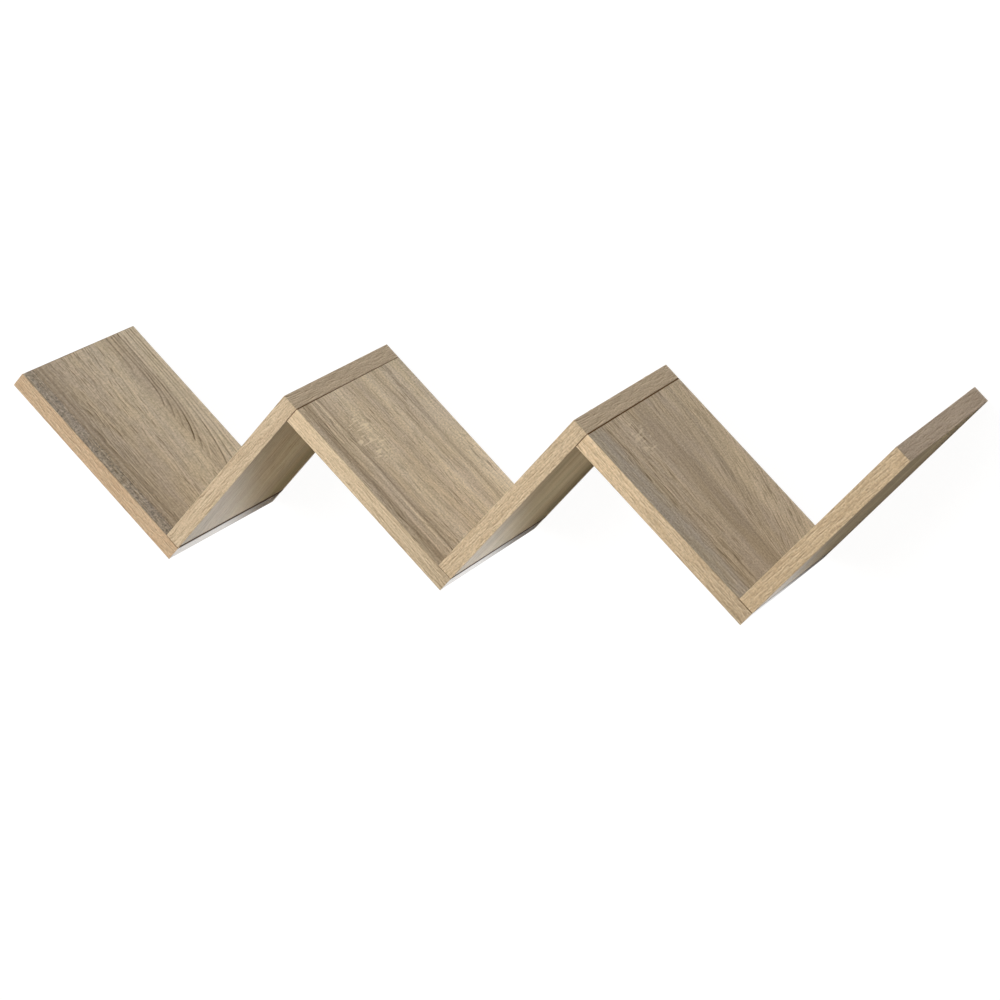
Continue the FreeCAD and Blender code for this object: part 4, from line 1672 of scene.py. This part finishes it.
@dataclass
class Studio:
    """White wall that the shelf hangs on, pale floor, soft light and the camera."""

    side: float = 40.0
    wall_gap: float = 0.8 * MM
    near_wall: float = 4.0 * MM
    floor_level: float = -1.2
    floor_tint: Colour = (0.64, 0.58, 0.50, 1.0)
    sky: float = 0.21
    paper_tint: Colour = grey(0.12)
    paper_glow: float = 0.935
    # Gloss rays see the paper glow only below the shelf: a painted reflection, dim near the shelf as a
    # painted shadow.
    gloss: Ramp = Ramp(-20.0 * MM, -80.0 * MM, 0.02, 0.85)
    lamps: tuple[Lamp, ...] = (
        Lamp("front_light", 0.64, (-0.35, -0.92, 0.19), math.radians(28.0)),
        Lamp("top_light", 0.48, (0.28, -0.20, 0.94), math.radians(35.0)),
        Lamp("back_light", 0.36, (-0.20, 0.85, 0.45), math.radians(30.0)),
    )
    lens: float = 110.33
    sensor: float = 36.0
    sight: float = 200.0
    azimuth: float = math.radians(29.889)
    elevation: float = math.radians(17.577)
    roll: float = math.radians(-4.22)
    distance: float = 2.5782
    target: Triple = (0.06611, -0.175, 0.07665)

    def lay_sheet(self, name: str, seat: Matrix, material: Material) -> None:
        """Lay one large flat sheet of the studio.

        Args:
            name: the sheet's name.
            seat: the change from the flat to its place.
            material: its finish.
        """
        shape = bmesh.new()
        bmesh.ops.create_grid(shape, x_segments=1, y_segments=1, size=HALF * self.side, matrix=seat)
        mesh = bpy.data.meshes.new(name)
        shape.to_mesh(mesh)
        shape.free()
        mesh.materials.append(material)
        sheet = bpy.data.objects.new(name, mesh)
        bpy.context.scene.collection.objects.link(sheet)
        log.info("studio sheet %s", name)

    def seen_directly(self, wiring: Wiring) -> tuple[Socket, Socket]:
        """Tell rays from the camera, from gloss and through clear pieces from all others.

        Args:
            wiring: the nodes to add to.

        Returns:
            The socket that is 1 for those rays, and the one that is 1 for the camera's alone.
        """
        path = wiring.node("LightPath").outputs
        bright = wiring.maths("MAXIMUM", path["Is Glossy Ray"], path["Is Transmission Ray"])
        return wiring.maths("MAXIMUM", path["Is Camera Ray"], bright), path["Is Camera Ray"]

    def paper(self, recipe: Recipe, by_camera: Feed) -> Socket:
        """Make white paper, which the camera sees with a faint shadow, and which glows to gloss rays only
        below the shelf: a painted reflection on the shelf's undersides, dim near the shelf as if in its
        shadow.

        Args:
            recipe: the finish that is being made.
            by_camera: what is 1 for the camera's own rays.

        Returns:
            The socket of the shader.
        """
        sheet = recipe.fill(recipe.node("BsdfDiffuse"), {"Color": self.paper_tint})
        # Painted reflection: glow for gloss rays, strong below the shelf and faint near it.
        painted_reflection_glow = recipe.ease(recipe.split(recipe.place())[2], self.gloss)
        strength = recipe.total(0.0, [(self.paper_glow, by_camera),
                                      (1.0, recipe.product(painted_reflection_glow, recipe.rest_of(by_camera)))])
        glow = recipe.fill(recipe.node("Emission"), {"Strength": strength})
        both = recipe.node("AddShader")
        return recipe.fill(both, {0: sheet.outputs["BSDF"], 1: glow.outputs["Emission"]}).outputs["Shader"]

    def finish_sheet(self, hidden: Node, recipe: Recipe, one_sided: bool) -> Material:
        """Show paper to the rays that see it, and another shader to the rest.

        Args:
            hidden: the other shader.
            recipe: the finish that is being made.
            one_sided: whether the paper shows on its front alone, and not to rays from close by.

        Returns:
            The finished material.
        """
        seen, by_camera = self.seen_directly(recipe)
        if one_sided:
            in_front = recipe.rest_of(recipe.node("NewGeometry").outputs["Backfacing"])
            length = recipe.node("LightPath").outputs["Ray Length"]
            far = recipe.maths("GREATER_THAN", length, self.near_wall)
            seen = recipe.product(recipe.product(seen, far), in_front)
        choice = recipe.fill(recipe.node("MixShader"), {
            "Fac": seen, 1: hidden.outputs["BSDF"], 2: self.paper(recipe, by_camera)})
        recipe.tree.nodes.remove(recipe.surface)
        recipe.fill(recipe.tree.nodes["Material Output"], {"Surface": choice.outputs["Shader"]})
        return recipe.material

    def lay_floor(self) -> None:
        """Lay the pale floor below the shelf."""
        recipe = Recipe("studio_floor_paper")
        matt = recipe.fill(recipe.node("BsdfDiffuse"), {"Color": self.floor_tint})
        material = self.finish_sheet(matt, recipe, one_sided=False)
        self.lay_sheet("studio_floor", Matrix.Translation((0.0, 0.0, self.floor_level)), material)

    def hang_wall(self) -> None:
        """Stand the white wall behind the shelf, which is clear from behind so that the back can be seen."""
        recipe = Recipe("studio_wall_paper")
        material = self.finish_sheet(recipe.node("BsdfTransparent"), recipe, one_sided=True)
        seat = Matrix.Translation((0.0, CAD_BOX[1][1] + self.wall_gap, self.floor_level + HALF * self.side))
        self.lay_sheet("studio_wall", seat @ Matrix.Rotation(QUARTER_TURN, 4, "X"), material)

    def light_sky(self) -> None:
        """Light the room evenly, and show it as white."""
        world = bpy.data.worlds.new("studio_room")
        world.use_nodes = True
        wiring = Wiring(world.node_tree)
        seen, _ = self.seen_directly(wiring)
        strength = wiring.total(self.sky, [(1.0 - self.sky, seen)])
        wiring.fill(world.node_tree.nodes["Background"], {"Color": grey(1.0), "Strength": strength})
        bpy.context.scene.world = world

    def set_camera(self) -> None:
        """Set the camera at the photograph's viewing angle."""
        back = Vector((math.sin(self.azimuth) * math.cos(self.elevation),
                       -math.cos(self.azimuth) * math.cos(self.elevation), math.sin(self.elevation)))
        right = (-back).cross(Vector(UPWARDS)).normalized()
        level = Matrix((right, back.cross(right), back)).transposed().to_4x4()
        lens = bpy.data.cameras.new("camera")
        lens.lens = self.lens
        lens.sensor_width = self.sensor
        lens.clip_end = self.sight
        camera = bpy.data.objects.new("camera", lens)
        stand = Matrix.Translation(Vector(self.target) + back * self.distance)
        camera.matrix_world = stand @ level @ Matrix.Rotation(self.roll, 4, "Z")
        bpy.context.scene.collection.objects.link(camera)
        bpy.context.scene.camera = camera

    def set_up(self) -> None:
        """Build the whole studio."""
        self.lay_floor()
        self.hang_wall()
        self.light_sky()
        for lamp in self.lamps:
            lamp.hang()
        self.set_camera()
        bpy.context.scene.view_settings.view_transform = "Standard"


def main() -> None:
    """Dress the boards, make the fittings and set up the studio."""
    logging.basicConfig(level=logging.INFO, format="%(name)s: %(message)s")
    run = BoardRun()
    run.dress()
    CornerFittings().build(run.seats[:-1])
    KeyholeHangers().build(run.rising)
    Studio().set_up()


if __name__ == "__main__":
    main()
